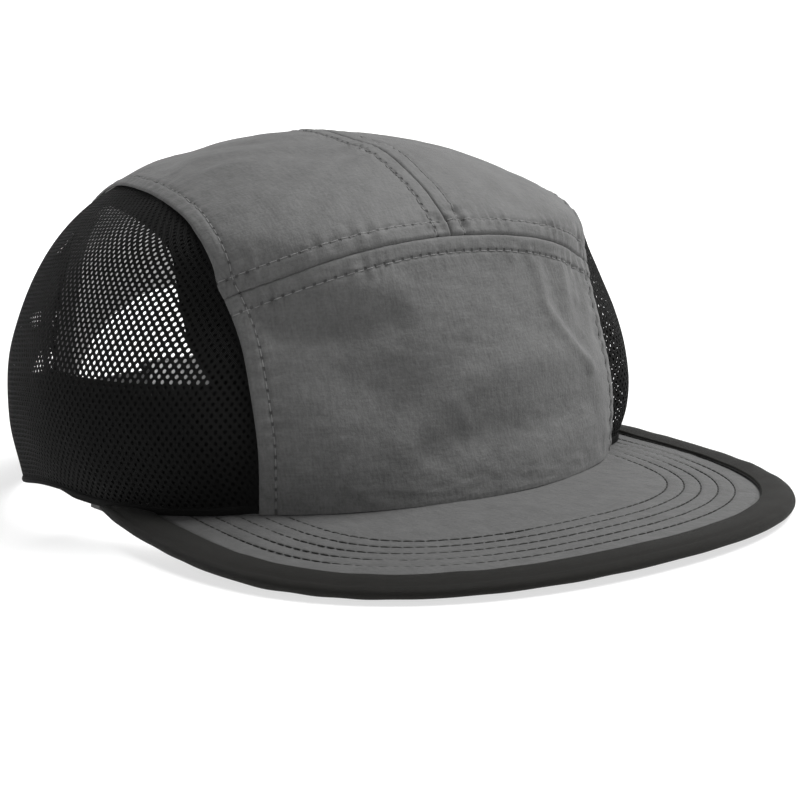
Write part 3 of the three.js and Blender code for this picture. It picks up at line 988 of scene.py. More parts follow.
class Shader:
    """Builds one material node by node."""

    def __init__(self, name: str) -> None:
        """Starts an empty material."""
        self.material = bpy.data.materials.new(name)
        self.material.use_nodes = True
        self.tree = self.material.node_tree
        self.tree.nodes.clear()

    def node(
        self,
        kind: str,
        settings: dict[str, object] | None = None,
        inputs: dict[object, object] | None = None,
        output: int | str = 0,
    ) -> Value:
        """Adds a node.

        Args:
            kind: The node's type.
            settings: Its own settings, by name.
            inputs: Numbers, colours or values, by socket name or number.
            output: The socket that is given back.

        Returns:
            That output.
        """
        made = self.tree.nodes.new(kind)
        for name, value in (settings or {}).items():
            setattr(made, name, value)
        for key, value in (inputs or {}).items():
            if isinstance(value, Value):
                self.tree.links.new(value.socket, made.inputs[key])
            else:
                made.inputs[key].default_value = value
        return Value(self, made.outputs[output])

    def fact(self, name: str) -> tuple[Value, Value]:
        """The first two numbers of a vector that the mesh holds."""
        vector = self.node("ShaderNodeAttribute", {"attribute_name": name}, output="Vector")
        parts = [
            self.node("ShaderNodeSeparateXYZ", inputs={"Vector": vector}, output=axis) for axis in (0, 1)
        ]
        return parts[0], parts[1]

    def noise(self, size: float, detail: float = 2.0, roughness: float = 0.5) -> Value:
        """Soft noise from 0 to 1 with bumps of about this size, in millimetres."""
        place = self.node("ShaderNodeTexCoord", output="Object")
        inputs = {"Vector": place, "Scale": 1 / (size * MM), "Detail": detail, "Roughness": roughness}
        return self.node("ShaderNodeTexNoise", inputs=inputs)

    def streaks(self, name: str, across: float, along: float) -> Value:
        """Noise from 0 to 1 on a vector of the mesh, with streaks of this size in millimetres."""
        place = self.node("ShaderNodeAttribute", {"attribute_name": name}, output="Vector")
        inputs = {0: place, 1: (1 / across, 1 / along, 1)}
        place = self.node("ShaderNodeVectorMath", {"operation": "MULTIPLY"}, inputs)
        return self.node("ShaderNodeTexNoise", inputs={"Vector": place, "Scale": 1.0, "Detail": 3.0})

    def tint(self, factor: Value, low: Sequence[float], high: Sequence[float]) -> Value:
        """A colour between two, by a factor from 0 to 1. The Mix node's colours are its 6 and 7."""
        inputs = {0: factor, 6: (*low, 1.0), 7: (*high, 1.0)}
        settings = {"data_type": "RGBA", "clamp_factor": True}
        return self.node("ShaderNodeMix", settings, inputs, output=2)

    def bump(self, height: Value, distance: float, strength: float = 1.0) -> Value:
        """A normal from a height of 0 to 1, for a relief of that many millimetres."""
        inputs = {"Height": height, "Distance": distance * MM, "Strength": strength}
        return self.node("ShaderNodeBump", inputs=inputs, output="Normal")

    def finish(self, **sockets: object) -> bpy.types.Material:
        """Ends with a Principled shader with these sockets, underscores standing for spaces."""
        inputs = {name.replace("_", " "): value for name, value in sockets.items()}
        surface = self.node("ShaderNodeBsdfPrincipled", inputs=inputs)
        out = self.tree.nodes.new("ShaderNodeOutputMaterial")
        self.tree.links.new(surface.socket, out.inputs["Surface"])
        return self.material


@dataclass(frozen=True)
class Nylon:
    """Fine plain-woven nylon, matt, a little mottled, with needle holes along its seams that are darkened
    with painted shade.
    """

    name: str = "grey_nylon_cloth"
    dark: tuple[float, float, float] = (0.045, 0.045, 0.0446)
    light: tuple[float, float, float] = (0.117, 0.117, 0.116)
    thread: float = 0.42  # pitch of the weave
    grain: float = 0.8  # sizes of the marks in the cloth
    mottle: float = 7.0
    crumple: float = 3.6
    weft: tuple[float, float] = (6.0, 0.55)  # the slubs' lengths across and along the cloth
    warp: tuple[float, float] = (0.6, 5.0)
    stitch: float = 4.5  # the needle holes' distance from a seam, and from the arch's edge
    hem_stitch: float = 5.0
    pitch: float = 2.85
    hole: tuple[float, float] = (0.2, 0.24)  # half a hole, away from the seam and along it
    hole_edge: tuple[float, float] = (0.22, 0.24)  # how softly it ends

    def holes(self, shader: Shader, name: str, distance: float) -> Value:
        """Where the needle holes of a row of stitches are, for their dents and for their painted shade.
        """
        away, run = shader.fact(name)
        near_row = (away - distance).within(self.hole[0], self.hole_edge[0])
        return near_row * run.from_middle(self.pitch).within(self.hole[1], self.hole_edge[1])

    def material(self) -> bpy.types.Material:
        """Builds the material."""
        shader = Shader(self.name)
        across, along = shader.fact("weave")
        turn = 2 * math.pi / self.thread
        weave = (across * turn).sine() * (along * turn).sine() * 0.5 + 0.5
        grain = shader.noise(self.grain, 3.0, 0.65)
        mottle = shader.noise(self.mottle, 3.0, 0.6)
        crumple = shader.noise(self.crumple, 4.0, 0.6)
        weft = shader.streaks("weave", *self.weft)
        warp = shader.streaks("weave", *self.warp)
        slub = weft * 0.4 + warp * 0.6
        holes = self.holes(shader, "side", self.stitch)
        holes = holes + self.holes(shader, "seam", self.stitch)
        holes = holes + self.holes(shader, "middle", self.stitch)
        holes = (holes + self.holes(shader, "hem", self.hem_stitch)).clamped()
        # Each mark's share of the cloth's tone, and then of its relief; the needle holes' darkening of
        # the colour is painted shade
        shade = grain * 0.9 + mottle * 0.6 + slub * 0.9 + weave * 0.15 - 0.78 - holes * 1.6
        color = shader.tint(shade.clamped(), self.dark, self.light)
        relief = weave * 0.08 + grain * 0.2 + slub * 0.25 + crumple * 0.9 - holes * 0.5
        return shader.finish(
            Base_Color=color,
            Roughness=grain * 0.2 + 0.62,
            Normal=shader.bump(relief, 0.5, 0.75),
            Sheen_Weight=0.08,
            Specular_IOR_Level=0.3,
        )


@dataclass(frozen=True)
class RibbedCloth:
    """Cloth, tape or thread with fine ribs that run straight or slanted."""

    name: str
    dark: tuple[float, float, float]
    light: tuple[float, float, float]
    rib: float = 0.8  # pitch of the ribs
    slant: float = 1.0
    grain: float = 0.7
    roughness: float = 0.8
    relief: float = 0.15
    sheen: float = 0.03
    gloss: float = 0.3

    def material(self) -> bpy.types.Material:
        """Builds the material."""
        shader = Shader(self.name)
        across, along = shader.fact("weave")
        turn = 2 * math.pi / self.rib
        ribs = ((across + along * self.slant) * turn).sine() * 0.5 + 0.5
        grain = shader.noise(self.grain, 2.0, 0.6)
        shade = (ribs * 0.5 + grain * 0.6 - 0.05).clamped()
        return shader.finish(
            Base_Color=shader.tint(shade, self.dark, self.light),
            Roughness=grain * 0.2 + (self.roughness - 0.1),
            Normal=shader.bump(ribs * 0.7 + grain * 0.3, self.relief, 0.8),
            Sheen_Weight=self.sheen,
            Specular_IOR_Level=self.gloss,
        )


@dataclass(frozen=True)
class Plastic:
    """Moulded black plastic with a fine satin grain."""

    dark: tuple[float, float, float] = (0.009, 0.009, 0.009)
    light: tuple[float, float, float] = (0.016, 0.016, 0.016)
    grain: float = 0.35

    def material(self) -> bpy.types.Material:
        """Builds the material."""
        shader = Shader("black_moulded_plastic")
        grain = shader.noise(self.grain, 2.0)
        return shader.finish(
            Base_Color=shader.tint(grain, self.dark, self.light),
            Roughness=grain * 0.15 + 0.38,
            Normal=shader.bump(grain, 0.05, 0.5),
        )


@dataclass(frozen=True)
class PaleFloor:
    """A plain pale floor."""

    light: tuple[float, float, float] = (0.33, 0.33, 0.33)
    darkest: float = 0.995  # the floor's faint mottling goes down to this share
    mottle: float = 40.0
    glow: float = 0.67

    def material(self) -> bpy.types.Material:
        """Builds the material."""
        shader = Shader("pale_floor")
        mottle = shader.noise(self.mottle, 1.0)
        low = tuple(channel * self.darkest for channel in self.light)
        return shader.finish(
            Base_Color=shader.tint(mottle, low, self.light),
            Roughness=0.9,
            Emission_Color=(1, 1, 1, 1),
            Emission_Strength=self.glow,
        )


COTTON = RibbedCloth("black_cotton_twill", (0.0016, 0.0016, 0.0016), (0.005, 0.005, 0.005))
NET = RibbedCloth(
    "black_knitted_net",
    dark=(0.0022, 0.0022, 0.0022),
    light=(0.0078, 0.0078, 0.0076),
    rib=0.5,
    sheen=0.0,
    gloss=0.08,
)
BINDING = RibbedCloth(
    "charcoal_binding_tape",
    dark=(0.003, 0.0029, 0.0025),
    light=(0.0175, 0.0167, 0.0145),
    rib=0.35,
    relief=0.2,
    sheen=0.04,
    gloss=0.15,
)
WEBBING = RibbedCloth("black_woven_webbing", (0.006, 0.006, 0.006), (0.016, 0.016, 0.016), rib=1.1)
LIGHT_THREAD = RibbedCloth("grey_thread", (0.15, 0.15, 0.149), (0.25, 0.25, 0.248), rib=0.3)
DARK_THREAD = RibbedCloth("dark_thread", (0.012, 0.012, 0.011), (0.03, 0.03, 0.028), rib=0.3)
CROWN_NYLON = Nylon()
# The crown's nylon again in a darker copy for the brim: painted shade on the brim's upward face
SHADED_BRIM_NYLON = Nylon("grey_nylon_brim", (0.036, 0.036, 0.0357), (0.088, 0.088, 0.0872))


# The pieces


class Cut(NamedTuple):
    """The flat size that a panel was cut to, in metres, and its area in square metres."""

    width: float
    length: float
    area: float

    def declare(
        self, piece: bpy.types.Object, *held_by: str, hems: Sequence[bpy.types.Object] = ()
    ) -> None:
        """Takes a piece, the nodes that would hold it and its hems, and does nothing with them."""


def dress(
    piece: bpy.types.Object, material: bpy.types.Material, slot: str, *nodes: str
) -> bpy.types.Object:
    """Gives a piece its material, hides the nodes that it stands for, and rides it on the cap."""
    piece.data.materials.clear()
    piece.data.materials.append(material)
    if nodes:
        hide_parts(*nodes)
    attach(piece, "root")
    LOG.info("%s: %d faces", piece.name, len(piece.data.polygons))
    return piece


@dataclass
class NylonPanels:
    """The front panel and the two top panels, sewn along their edges."""

    crown: Crown
    material: bpy.types.Material
    stitching: Stitching
    front_width: float = 124.0
    front_height: float = 74.0
    top_width: float = 60.0
    top_length: float = 165.0
    fine: float = 0.36
    coarse: float = 1.0
    near: float = 6.8
    wall: float = 0.55
    soft: float = 0.12  # heights of the soft waves, the crumple and the fine crinkle
    crumple: float = 0.13
    crinkle: float = 0.035
    soft_wave: float = 30.0  # and their wavelengths
    crumple_waves: tuple[float, float] = (15.0, 7.5)
    fine_share: float = 0.45  # the height of the crumple's finer waves beside its coarser ones
    crinkle_wave: float = 3.4
    crinkle_stretch: tuple[float, float, float] = (0.35, 0.35, 1.0)
    patch_wave: float = 34.0
    most_crumpled: float = 1.3
    deepest: float = 0.8  # the wrinkles go no deeper than this
    calm: float = 0.35  # the share of the wrinkles that is left at a side seam
    calm_to: tuple[float, float] = (1.0, 9.0)  # where it rises to the whole, from the seam
    dents_from: tuple[float, float] = (2.0, 8.0)  # where the dents do
    tuck: float = 0.9  # the top's edge goes on this far under the front's
    side_seam: SeamShape = SeamShape()
    cross_seam: SeamShape = SeamShape(stitch=4.8, pucker=0.4)
    hem_stitch: float = 5.0
    hem_rise: float = 0.4
    hem_behind: float = 40.0  # the hem at the arch lies behind this, and lower than the next
    hem_below: float = 75.0
    far_from_hem: float = 99.0
    lowest: float = 0.5  # the row beside the arch starts at this height
    arch_points: tuple[int, int] = (25, 181)  # up the arch's leg, and round its curve to the top
    arch_rounds: int = 12
    front_cut: Cut = Cut(0.13, 0.077, 0.0089)
    top_cut: Cut = Cut(0.066, 0.188, 0.012)

    def spread(self, length: float) -> Array:
        """Shares of a length, close together at the seams."""
        return spacing(length, self.fine, self.coarse, self.near)

    def wrinkle(self, panel: Panel, seed: int) -> None:
        """Adds the soft waves and the fine crumple that worn-in nylon has."""
        base = panel.base
        soft = self.soft * ripples(base, self.soft_wave, seed)
        sharp, fine = (
            1 - np.abs(ripples(base, wave, seed + k)) for k, wave in enumerate(self.crumple_waves, 1)
        )
        most = self.most_crumpled
        patches = np.clip(0.5 + 0.5 * ripples(base, self.patch_wave, seed + 3), 0, most)
        crumple = self.crumple * (sharp + self.fine_share * fine) * patches
        flat = base * np.array(self.crinkle_stretch)
        crinkle = self.crinkle * ripples(flat, self.crinkle_wave, seed + 4) * (most - patches)
        relief = soft + crumple + crinkle
        deepest = self.deepest
        relief = np.where(relief < 0, deepest * np.tanh(relief / deepest), relief)
        away = seam_half_width(base[..., 1]) - np.abs(base[..., 0])
        calm = self.calm + (1 - self.calm) * smoothstep(away, *self.calm_to)
        dents = self.crown.dent_depth(base, panel.normals) * smoothstep(away, *self.dents_from)
        panel.height += relief * calm - dents

    def inward(self, panel: Panel, depth: float) -> Array:
        """A move of each point into the crown."""
        return -panel.normals * depth

    def front(self) -> bpy.types.Object:
        """The upright front panel."""
        across = 2 * self.spread(self.front_width) - 1
        across, part = np.meshgrid(across, self.spread(self.front_height))
        panel = Panel(self.crown.strip(across, part, self.crown.from_rim, self.crown.at_seam))
        self.wrinkle(panel, Seed.FRONT)
        panel.sew(Edge.FIRST_COLUMN, self.side_seam, "side", Seed.FRONT_RIGHT_SEAM)
        panel.sew(Edge.LAST_COLUMN, self.side_seam, "side", Seed.FRONT_LEFT_SEAM)
        panel.sew(Edge.LAST_ROW, self.cross_seam, "seam", Seed.FRONT_CROSS_SEAM)
        panel.stitch(self.stitching)
        turned = {Edge.FIRST_ROW: self.crown.down_to_brim(panel.base)}
        turned[Edge.LAST_ROW] = self.inward(panel, self.cross_seam.turned)
        points, facts = panel.turned_in(turned)
        piece = cloth_piece("front_panel_cloth", points, self.wall, facts)
        self.front_cut.declare(piece)
        return dress(piece, self.material, "grey_nylon", "front_panel")

    def top(self, side: Side) -> bpy.types.Object:
        """One top panel, from the seam across the front over the crown to the arch at the back."""
        left = side is Side.LEFT
        shares = self.spread(self.top_width)
        across = shares if left else -shares[::-1]
        across, part = np.meshgrid(across, self.spread(self.top_length))
        crown = self.crown
        panel = Panel(crown.strip(across, part, crown.at_seam, crown.to_arch, crown.to_rim))
        middle_edge = Edge.FIRST_COLUMN if left else Edge.LAST_COLUMN
        side_edge = Edge.LAST_COLUMN if left else Edge.FIRST_COLUMN
        self.wrinkle(panel, Seed.TOP)
        panel.sew(middle_edge, self.cross_seam, "middle", Seed.TOP_MIDDLE_SEAM + side.value)
        panel.sew(side_edge, self.side_seam, "side", Seed.TOP_SIDE_SEAM + side.value)
        panel.sew(Edge.FIRST_ROW, self.cross_seam, "seam", Seed.TOP_CROSS_SEAM + side.value)
        self.hem(panel, side)
        panel.stitch(self.stitching)
        under_front = np.gradient(panel.base, axis=0)
        tuck = self.inward(panel, self.cross_seam.turned) - unit(under_front) * self.tuck
        points, facts = panel.turned_in({Edge.FIRST_ROW: tuck})
        piece = cloth_piece(f"top_panel_{side.word}_cloth", points, self.wall, facts)
        self.top_cut.declare(piece)
        return dress(piece, self.material, "grey_nylon", f"top_panel_{side.word}")

    def hem(self, panel: Panel, side: Side) -> None:
        """Folds the cloth round the arch at the back and sews its hem."""
        edge = self.arch_line(side, 0)
        row = self.arch_line(side, self.hem_stitch)
        flat = panel.base.reshape(-1, 3)
        away = np.full(len(flat), self.far_from_hem)
        run = np.zeros(len(flat))
        behind = np.flatnonzero((flat[:, 1] > self.hem_behind) & (flat[:, 2] < self.hem_below))
        gaps = np.linalg.norm(flat[behind, None] - edge[None], axis=-1)
        away[behind] = gaps.min(1)
        run[behind] = run_length(row)[gaps.argmin(1)]
        away, run = (grid.reshape(panel.base.shape[:2]) for grid in (away, run))
        shape = SeamShape(stitch=self.hem_stitch, rise=self.hem_rise)
        panel.height += shape.height(away, run, Seed.ARCH_HEM)
        panel.note("hem", away, run)
        ways = np.gradient(row, axis=0)
        out = row * np.array([1, 1, 0])
        self.stitching.add(row, unit(np.cross(ways, np.cross(out, ways))))

    def arch_line(self, side: Side, outset: float) -> Array:
        """Points on the crown along the arch, so far outside its edge, from the ground to the top."""
        crown = self.crown
        on_leg, on_curve = self.arch_points
        angle = np.linspace(0, np.pi / 2, on_curve)
        x = (crown.arch_half + outset) * np.cos(angle)
        rise = crown.arch_height - crown.arch_straight + outset
        z = crown.arch_straight + rise * np.sin(angle)
        low = np.linspace(self.lowest, crown.arch_straight, on_leg)[:-1]
        x = np.concatenate([np.full_like(low, x[0]), x])
        z = np.concatenate([low, z])
        turn = np.full_like(x, np.pi / 2)
        level = np.zeros_like(x)
        for _ in range(self.arch_rounds):
            level = crown.level_at(turn, z)
            ring = crown.section(level)
            cosine = np.clip(x / ring.half_width, 0, 1) ** (crown.back_square / 2)
            turn = np.arccos(cosine)
        return crown.point(level, turn) * np.array([side.value, 1, 1])


@dataclass
class NetPanels:
    """The two net side panels: knitted net with real holes, and the narrow hem along its rim."""

    crown: Crown
    net: bpy.types.Material
    pitch: float = 2.2  # from hole to hole in a row
    row: float = 1.37  # from row to row
    strand: float = 0.41  # half the width of the net between two holes
    corner: float = 0.23  # how much of each hole's corners is rounded off
    depth: float = 0.95
    wall: float = 0.14
    under: float = 1.6  # the net goes on under the nylon beside it
    hem_width: float = 1.3
    cells: int = 142  # enough for the lattice to reach every corner of the panel
    first_row: float = 0.5  # the holes start this far over the rim
    last_turn: float = 1.5
    highest: float = 6.6  # the net's highest level on the crown
    levels: int = 331
    turns: int = 721
    places: int = 601
    swell: float = 5.3  # the net stands out by this much behind its front seam
    swell_from_seam: tuple[float, float] = (0.5, 12.0)  # where it has risen to the whole
    swell_back: tuple[float, float] = (-45.0, 15.0)  # where it has gone again, towards the back
    swell_up: tuple[float, float] = (-25.0, 6.0)  # where it has risen, upwards
    swell_down: tuple[float, float] = (14.0, 80.0)  # where it sinks again
    swell_sinks: float = 0.75  # by this share
    sag: float = 0.1  # height and wavelength of the net's own soft waves
    sag_wave: float = 26.0
    hem_points: int = 150
    hem_rows: tuple[float, ...] = (0.0, 0.0, 0.15, 0.5, 0.8, 1.0)
    hem_depths: tuple[float, ...] = (2.6, 0.85, 0.5, 0.4, 0.5, 0.8)  # the first turns in under the rim
    hem_wall: float = 0.3
    cut: Cut = Cut(0.17, 0.1, 0.0145)
    level: Array = field(init=False)
    up: Array = field(init=False)
    along: Array = field(init=False)
    turn: Array = field(init=False)

    def __post_init__(self) -> None:
        """Lays the net on the left side of the crown.

        Its rows follow the level sections. A row's place is the length up from the rim at the widest
        place, and a place on a row is the length along it from there.
        """
        self.level = np.linspace(0, self.highest, self.levels)
        turn = np.linspace(-np.pi / 2, np.pi / 2, self.turns)
        grid = self.crown.point(*np.broadcast_arrays(self.level[:, None], turn))
        middle = len(turn) // 2
        self.up = run_length(grid[:, middle])
        runs = run_length(grid, axis=1)
        runs = runs - runs[:, middle : middle + 1]
        self.along = np.linspace(runs.min(), runs.max(), self.places)
        self.turn = np.array([np.interp(self.along, row, turn) for row in runs])

    def place(self, u: Array, v: Array) -> tuple[Array, Array]:
        """The level and the turn at a length along a row and a length up."""
        level = np.interp(v, self.up, self.level)
        return level, sample(self.turn, self.level, self.along, level, u)

    def on_crown(self, u: Array, v: Array, depth: Array | float, side: Side) -> Array:
        """Points on the net at u and v, so deep under the crown's surface."""
        level, turn = self.place(u, v)
        step = SMALL_STEP
        point = self.crown.point
        round_it = point(level, turn + step) - point(level, turn - step)
        low = np.maximum(level - step, 0)
        normal = unit(np.cross(round_it, point(level + step, turn) - point(low, turn)))
        base = point(level, turn)
        out = self.swell_at(base) - np.broadcast_to(depth, u.shape)
        return (base + normal * out[..., None]) * np.array([side.value, 1, 1])

    def swell_at(self, points: Array) -> Array:
        """How far the net stands out, most behind its front seam at half height."""
        height = points[..., 2] - self.crown.brim.rise
        away = np.maximum(points[..., 0] - seam_half_width(points[..., 1]), 0)
        back = 1 - smoothstep(points[..., 1], *self.swell_back)
        along = smoothstep(away, *self.swell_from_seam) * back
        down = 1 - self.swell_sinks * smoothstep(height, *self.swell_down)
        return self.swell * along * smoothstep(height, *self.swell_up) * down

    def lattice(self, name: str, side: Side) -> bpy.types.Object:
        """A flat lattice of round-cornered diamonds, in millimetres, as large as the panel."""
        clear_selection()
        cells = self.cells
        bpy.ops.mesh.primitive_grid_add(x_subdivisions=cells, y_subdivisions=cells, size=cells)
        piece = bpy.context.object
        piece.name = name
        bpy.ops.object.mode_set(mode="EDIT")
        bpy.ops.mesh.select_all(action="SELECT")
        middle = (0, 0, 0)
        bpy.ops.transform.rotate(value=math.pi / 4, orient_axis="Z", center_override=middle)
        stretch = (self.pitch / math.sqrt(2), self.row * math.sqrt(2), 1)
        bpy.ops.transform.resize(value=stretch, center_override=middle)
        bpy.ops.transform.translate(value=(0, float(self.up[-1]) / 2, 0))
        self.select_faces(piece, lambda centre: ~self.covers(centre, side))
        bpy.ops.mesh.delete(type="FACE")
        bpy.ops.mesh.select_all(action="SELECT")
        bpy.ops.mesh.inset(use_individual=True, use_even_offset=True, thickness=self.strand)
        bpy.ops.mesh.bevel(affect="VERTICES", offset=self.corner, segments=1)
        self.select_spokes(piece)
        bpy.ops.mesh.merge(type="COLLAPSE")
        self.select_faces(piece, None)
        bpy.ops.mesh.delete(type="FACE")
        bpy.ops.object.mode_set(mode="OBJECT")
        return piece

    def covers(self, centre: Array, side: Side) -> Array:
        """Which places of the flat lattice lie on the panel, or just under the nylon beside it."""
        u, v = centre[:, 0] * side.value, centre[:, 1]
        level, turn = self.place(u, v)
        points = self.crown.point(level, turn)
        edge = seam_half_width(points[:, 1]) - self.under
        inside = (np.abs(u) < self.along[-1]) & (np.abs(turn) < self.last_turn)
        return inside & (v > self.first_row) & (v < self.up[-1]) & (points[:, 0] > edge)

    def select_faces(
        self, piece: bpy.types.Object, test: Callable[[Array], Array] | None
    ) -> None:
        """Selects the faces whose middle passes a test, or with no test those with eight corners."""
        bpy.ops.mesh.select_all(action="DESELECT")
        bpy.ops.mesh.select_mode(type="FACE")
        bpy.ops.object.mode_set(mode="OBJECT")
        polygons = piece.data.polygons
        if test is None:
            chosen = np.array([len(polygon.vertices) == 8 for polygon in polygons])
        else:
            centres = np.array([tuple(polygon.center) for polygon in polygons])
            chosen = test(centres)
        polygons.foreach_set("select", chosen)
        bpy.ops.object.mode_set(mode="EDIT")

    def select_spokes(self, piece: bpy.types.Object) -> None:
        """Selects the short edges from the net's crossings to the rounded corners of its holes."""
        bpy.ops.mesh.select_all(action="DESELECT")
        bpy.ops.mesh.select_mode(type="EDGE")
        bpy.ops.object.mode_set(mode="OBJECT")
        mesh = piece.data
        on_hole = np.zeros(len(mesh.vertices), bool)
        on_corner = np.zeros(len(mesh.vertices), bool)
        for polygon in mesh.polygons:
            if len(polygon.vertices) == 8:
                on_hole[list(polygon.vertices)] = True
            elif len(polygon.vertices) == 3:
                on_corner[list(polygon.vertices)] = True
        ends = np.array([tuple(edge.vertices) for edge in mesh.edges])
        inner = on_corner & ~on_hole
        spoke = (inner[ends[:, 0]] ^ inner[ends[:, 1]]) & ~on_hole[ends].any(1)
        mesh.edges.foreach_set("select", spoke)
        bpy.ops.object.mode_set(mode="EDIT")

    def panel(self, side: Side) -> bpy.types.Object:
        """One net panel."""
        piece = self.lattice(f"side_net_{side.word}", side)
        flat = np.array([tuple(vertex.co) for vertex in piece.data.vertices])
        u = flat[:, 0] * side.value
        v = np.maximum(flat[:, 1], 0)
        sag = self.sag * ripples(np.stack([u, v, 0 * u], -1), self.sag_wave, Seed.NET)
        points = self.on_crown(u, v, self.depth - sag, side)
        piece.data.vertices.foreach_set("co", place_in_metres(points).astype(np.float32).ravel())
        set_attribute(piece.data, "weave", flat)
        piece.data.update()
        apply_modifier(piece, "SOLIDIFY", thickness=self.wall * MM, offset=-1)
        smooth(piece, angle=40)
        self.cut.declare(piece, hems=[self.rim_hem(side)])
        return dress(piece, self.net, "black_net", f"side_panel_{side.word}")

    def rim_hem(self, side: Side) -> bpy.types.Object:
        """The net's folded lower edge."""
        ring = self.on_crown(self.along, np.zeros_like(self.along), 0.0, Side.LEFT)
        free = self.along[ring[:, 0] >= seam_half_width(ring[:, 1])]
        u = np.linspace(free[0], free[-1], self.hem_points)
        v = np.array(self.hem_rows) * self.hem_width
        grid_u, grid_v = np.meshgrid(u, v)
        depth = np.array([np.full_like(u, depth) for depth in self.hem_depths])
        depth[0] += self.swell_at(self.crown.point(*self.place(u, v[0])))
        points = self.on_crown(grid_u, grid_v, depth, side)
        points[:3] += self.crown.down_to_brim(points[:3])
        if not facing_out(points, RIM_MIDDLE):
            points = points[:, ::-1]
        piece = cloth_piece(f"net_hem_{side.word}", points, self.hem_wall)
        return dress(piece, self.net, "black_net")


@dataclass
class InnerBands:
    """The sweatband and the two tapes inside the side seams."""

    crown: Crown
    material: bpy.types.Material
    depth: float = 1.95
    band_wall: float = 1.0
    tape_wall: float = 0.8
    band_front: float = 32.7
    band_back: float = 28.0
    band_lift: float = 0.4
    back_gap: float = 51.7
    tape_inside: float = 4.0
    tape_outside: float = 9.0
    outside_slope: float = 1.35
    band_cut: Cut = Cut(0.033, 0.47, 0.0152)
    tape_cut: Cut = Cut(0.013, 0.195, 0.0025)
    past_band: float = 1.2  # the tapes go on behind the band by this much
    step_in: float = 1.35  # and lie this much deeper there
    steps_from: tuple[float, float] = (1.7, 3.4)  # where the step starts and ends, from a tape's end
    tape_length: float = 190.0
    tape_spacing: tuple[float, float, float] = (0.35, 1.3, 4.2)
    tape_columns: int = 12
    tape_sunk: float = 0.1
    tape_waves: tuple[float, float] = (0.08, 12.0)  # height and wavelength
    gathers: tuple[float, float] = (0.1, 9.0)
    gather_turns: float = 14.0  # the gathers change this far from the band's lower edge to its upper
    band_grid: tuple[int, int] = (400, 22)
    band_sunk: float = 0.15
    groove: float = 0.35  # depth, place and half width of the groove under the band's upper edge
    groove_at: float = 0.9
    groove_half: float = 0.03

    def band_top(self, turn: Array) -> Array:
        """The height of the sweatband's upper edge."""
        crown = self.crown
        share = crown.front_share(crown.plan(SECTIONS[0], turn)[1])
        return crown.rim_height(turn) + self.band_back + (self.band_front - self.band_back) * share

    def sweatband(self) -> bpy.types.Object:
        """The band round the inside of the rim, open at the back."""
        crown = self.crown
        end = float(crown.back_turn(np.array(self.back_gap)))
        columns, rows = self.band_grid
        turn, share = np.meshgrid(np.linspace(-np.pi - end, end, columns), np.linspace(0, 1, rows))
        low = crown.rim_height(turn) + self.band_lift
        top = self.band_top(turn)
        points = crown.point(crown.level_at(turn, low + (top - low) * share), turn)
        points += (1 - share[..., None]) * crown.down_to_brim(points)
        run = run_length(points, axis=1)
        height, wave = self.gathers
        spread = np.stack([run, share * self.gather_turns, 0 * run], -1)
        relief = height * ripples(spread, wave, Seed.SWEATBAND)
        relief = relief - self.groove * bell(share - self.groove_at, self.groove_half) - self.band_sunk
        piece = crown_cloth("sweatband_cloth", crown, points, self.depth, self.band_wall, relief)
        self.band_cut.declare(piece, "front_panel", "brim")
        return dress(piece, self.material, "black_cotton", "sweatband")

    def tape(self, side: Side) -> bpy.types.Object:
        """One seam tape, from the sweatband over the crown and down again."""
        crown = self.crown
        low = float(self.band_top(np.array(-np.pi / 2))) - self.past_band
        high = float(self.band_top(crown.back_turn(np.array(self.back_gap)))) - self.past_band
        inside = 1 - self.tape_inside / crown.strip_half
        outside = 1 + self.tape_outside / self.outside_slope / crown.strip_half
        parts = spacing(self.tape_length, *self.tape_spacing)
        across, part = np.meshgrid(np.linspace(inside, outside, self.tape_columns), parts)
        start, end = crown.to_height(low, False), crown.to_height(high, True)
        points = crown.strip(across * side.value, part, start, end)
        from_end = self.tape_length * np.minimum(part, 1 - part)
        behind = self.step_in * (1 - smoothstep(from_end, *self.steps_from))
        height, wave = self.tape_waves
        relief = height * ripples(points, wave, Seed.TAPE) - self.tape_sunk - behind
        name = f"seam_tape_{side.word}_cloth"
        piece = crown_cloth(name, crown, points, self.depth, self.tape_wall, relief)
        self.tape_cut.declare(piece)
        return dress(piece, self.material, "black_cotton", f"seam_tape_{side.word}")


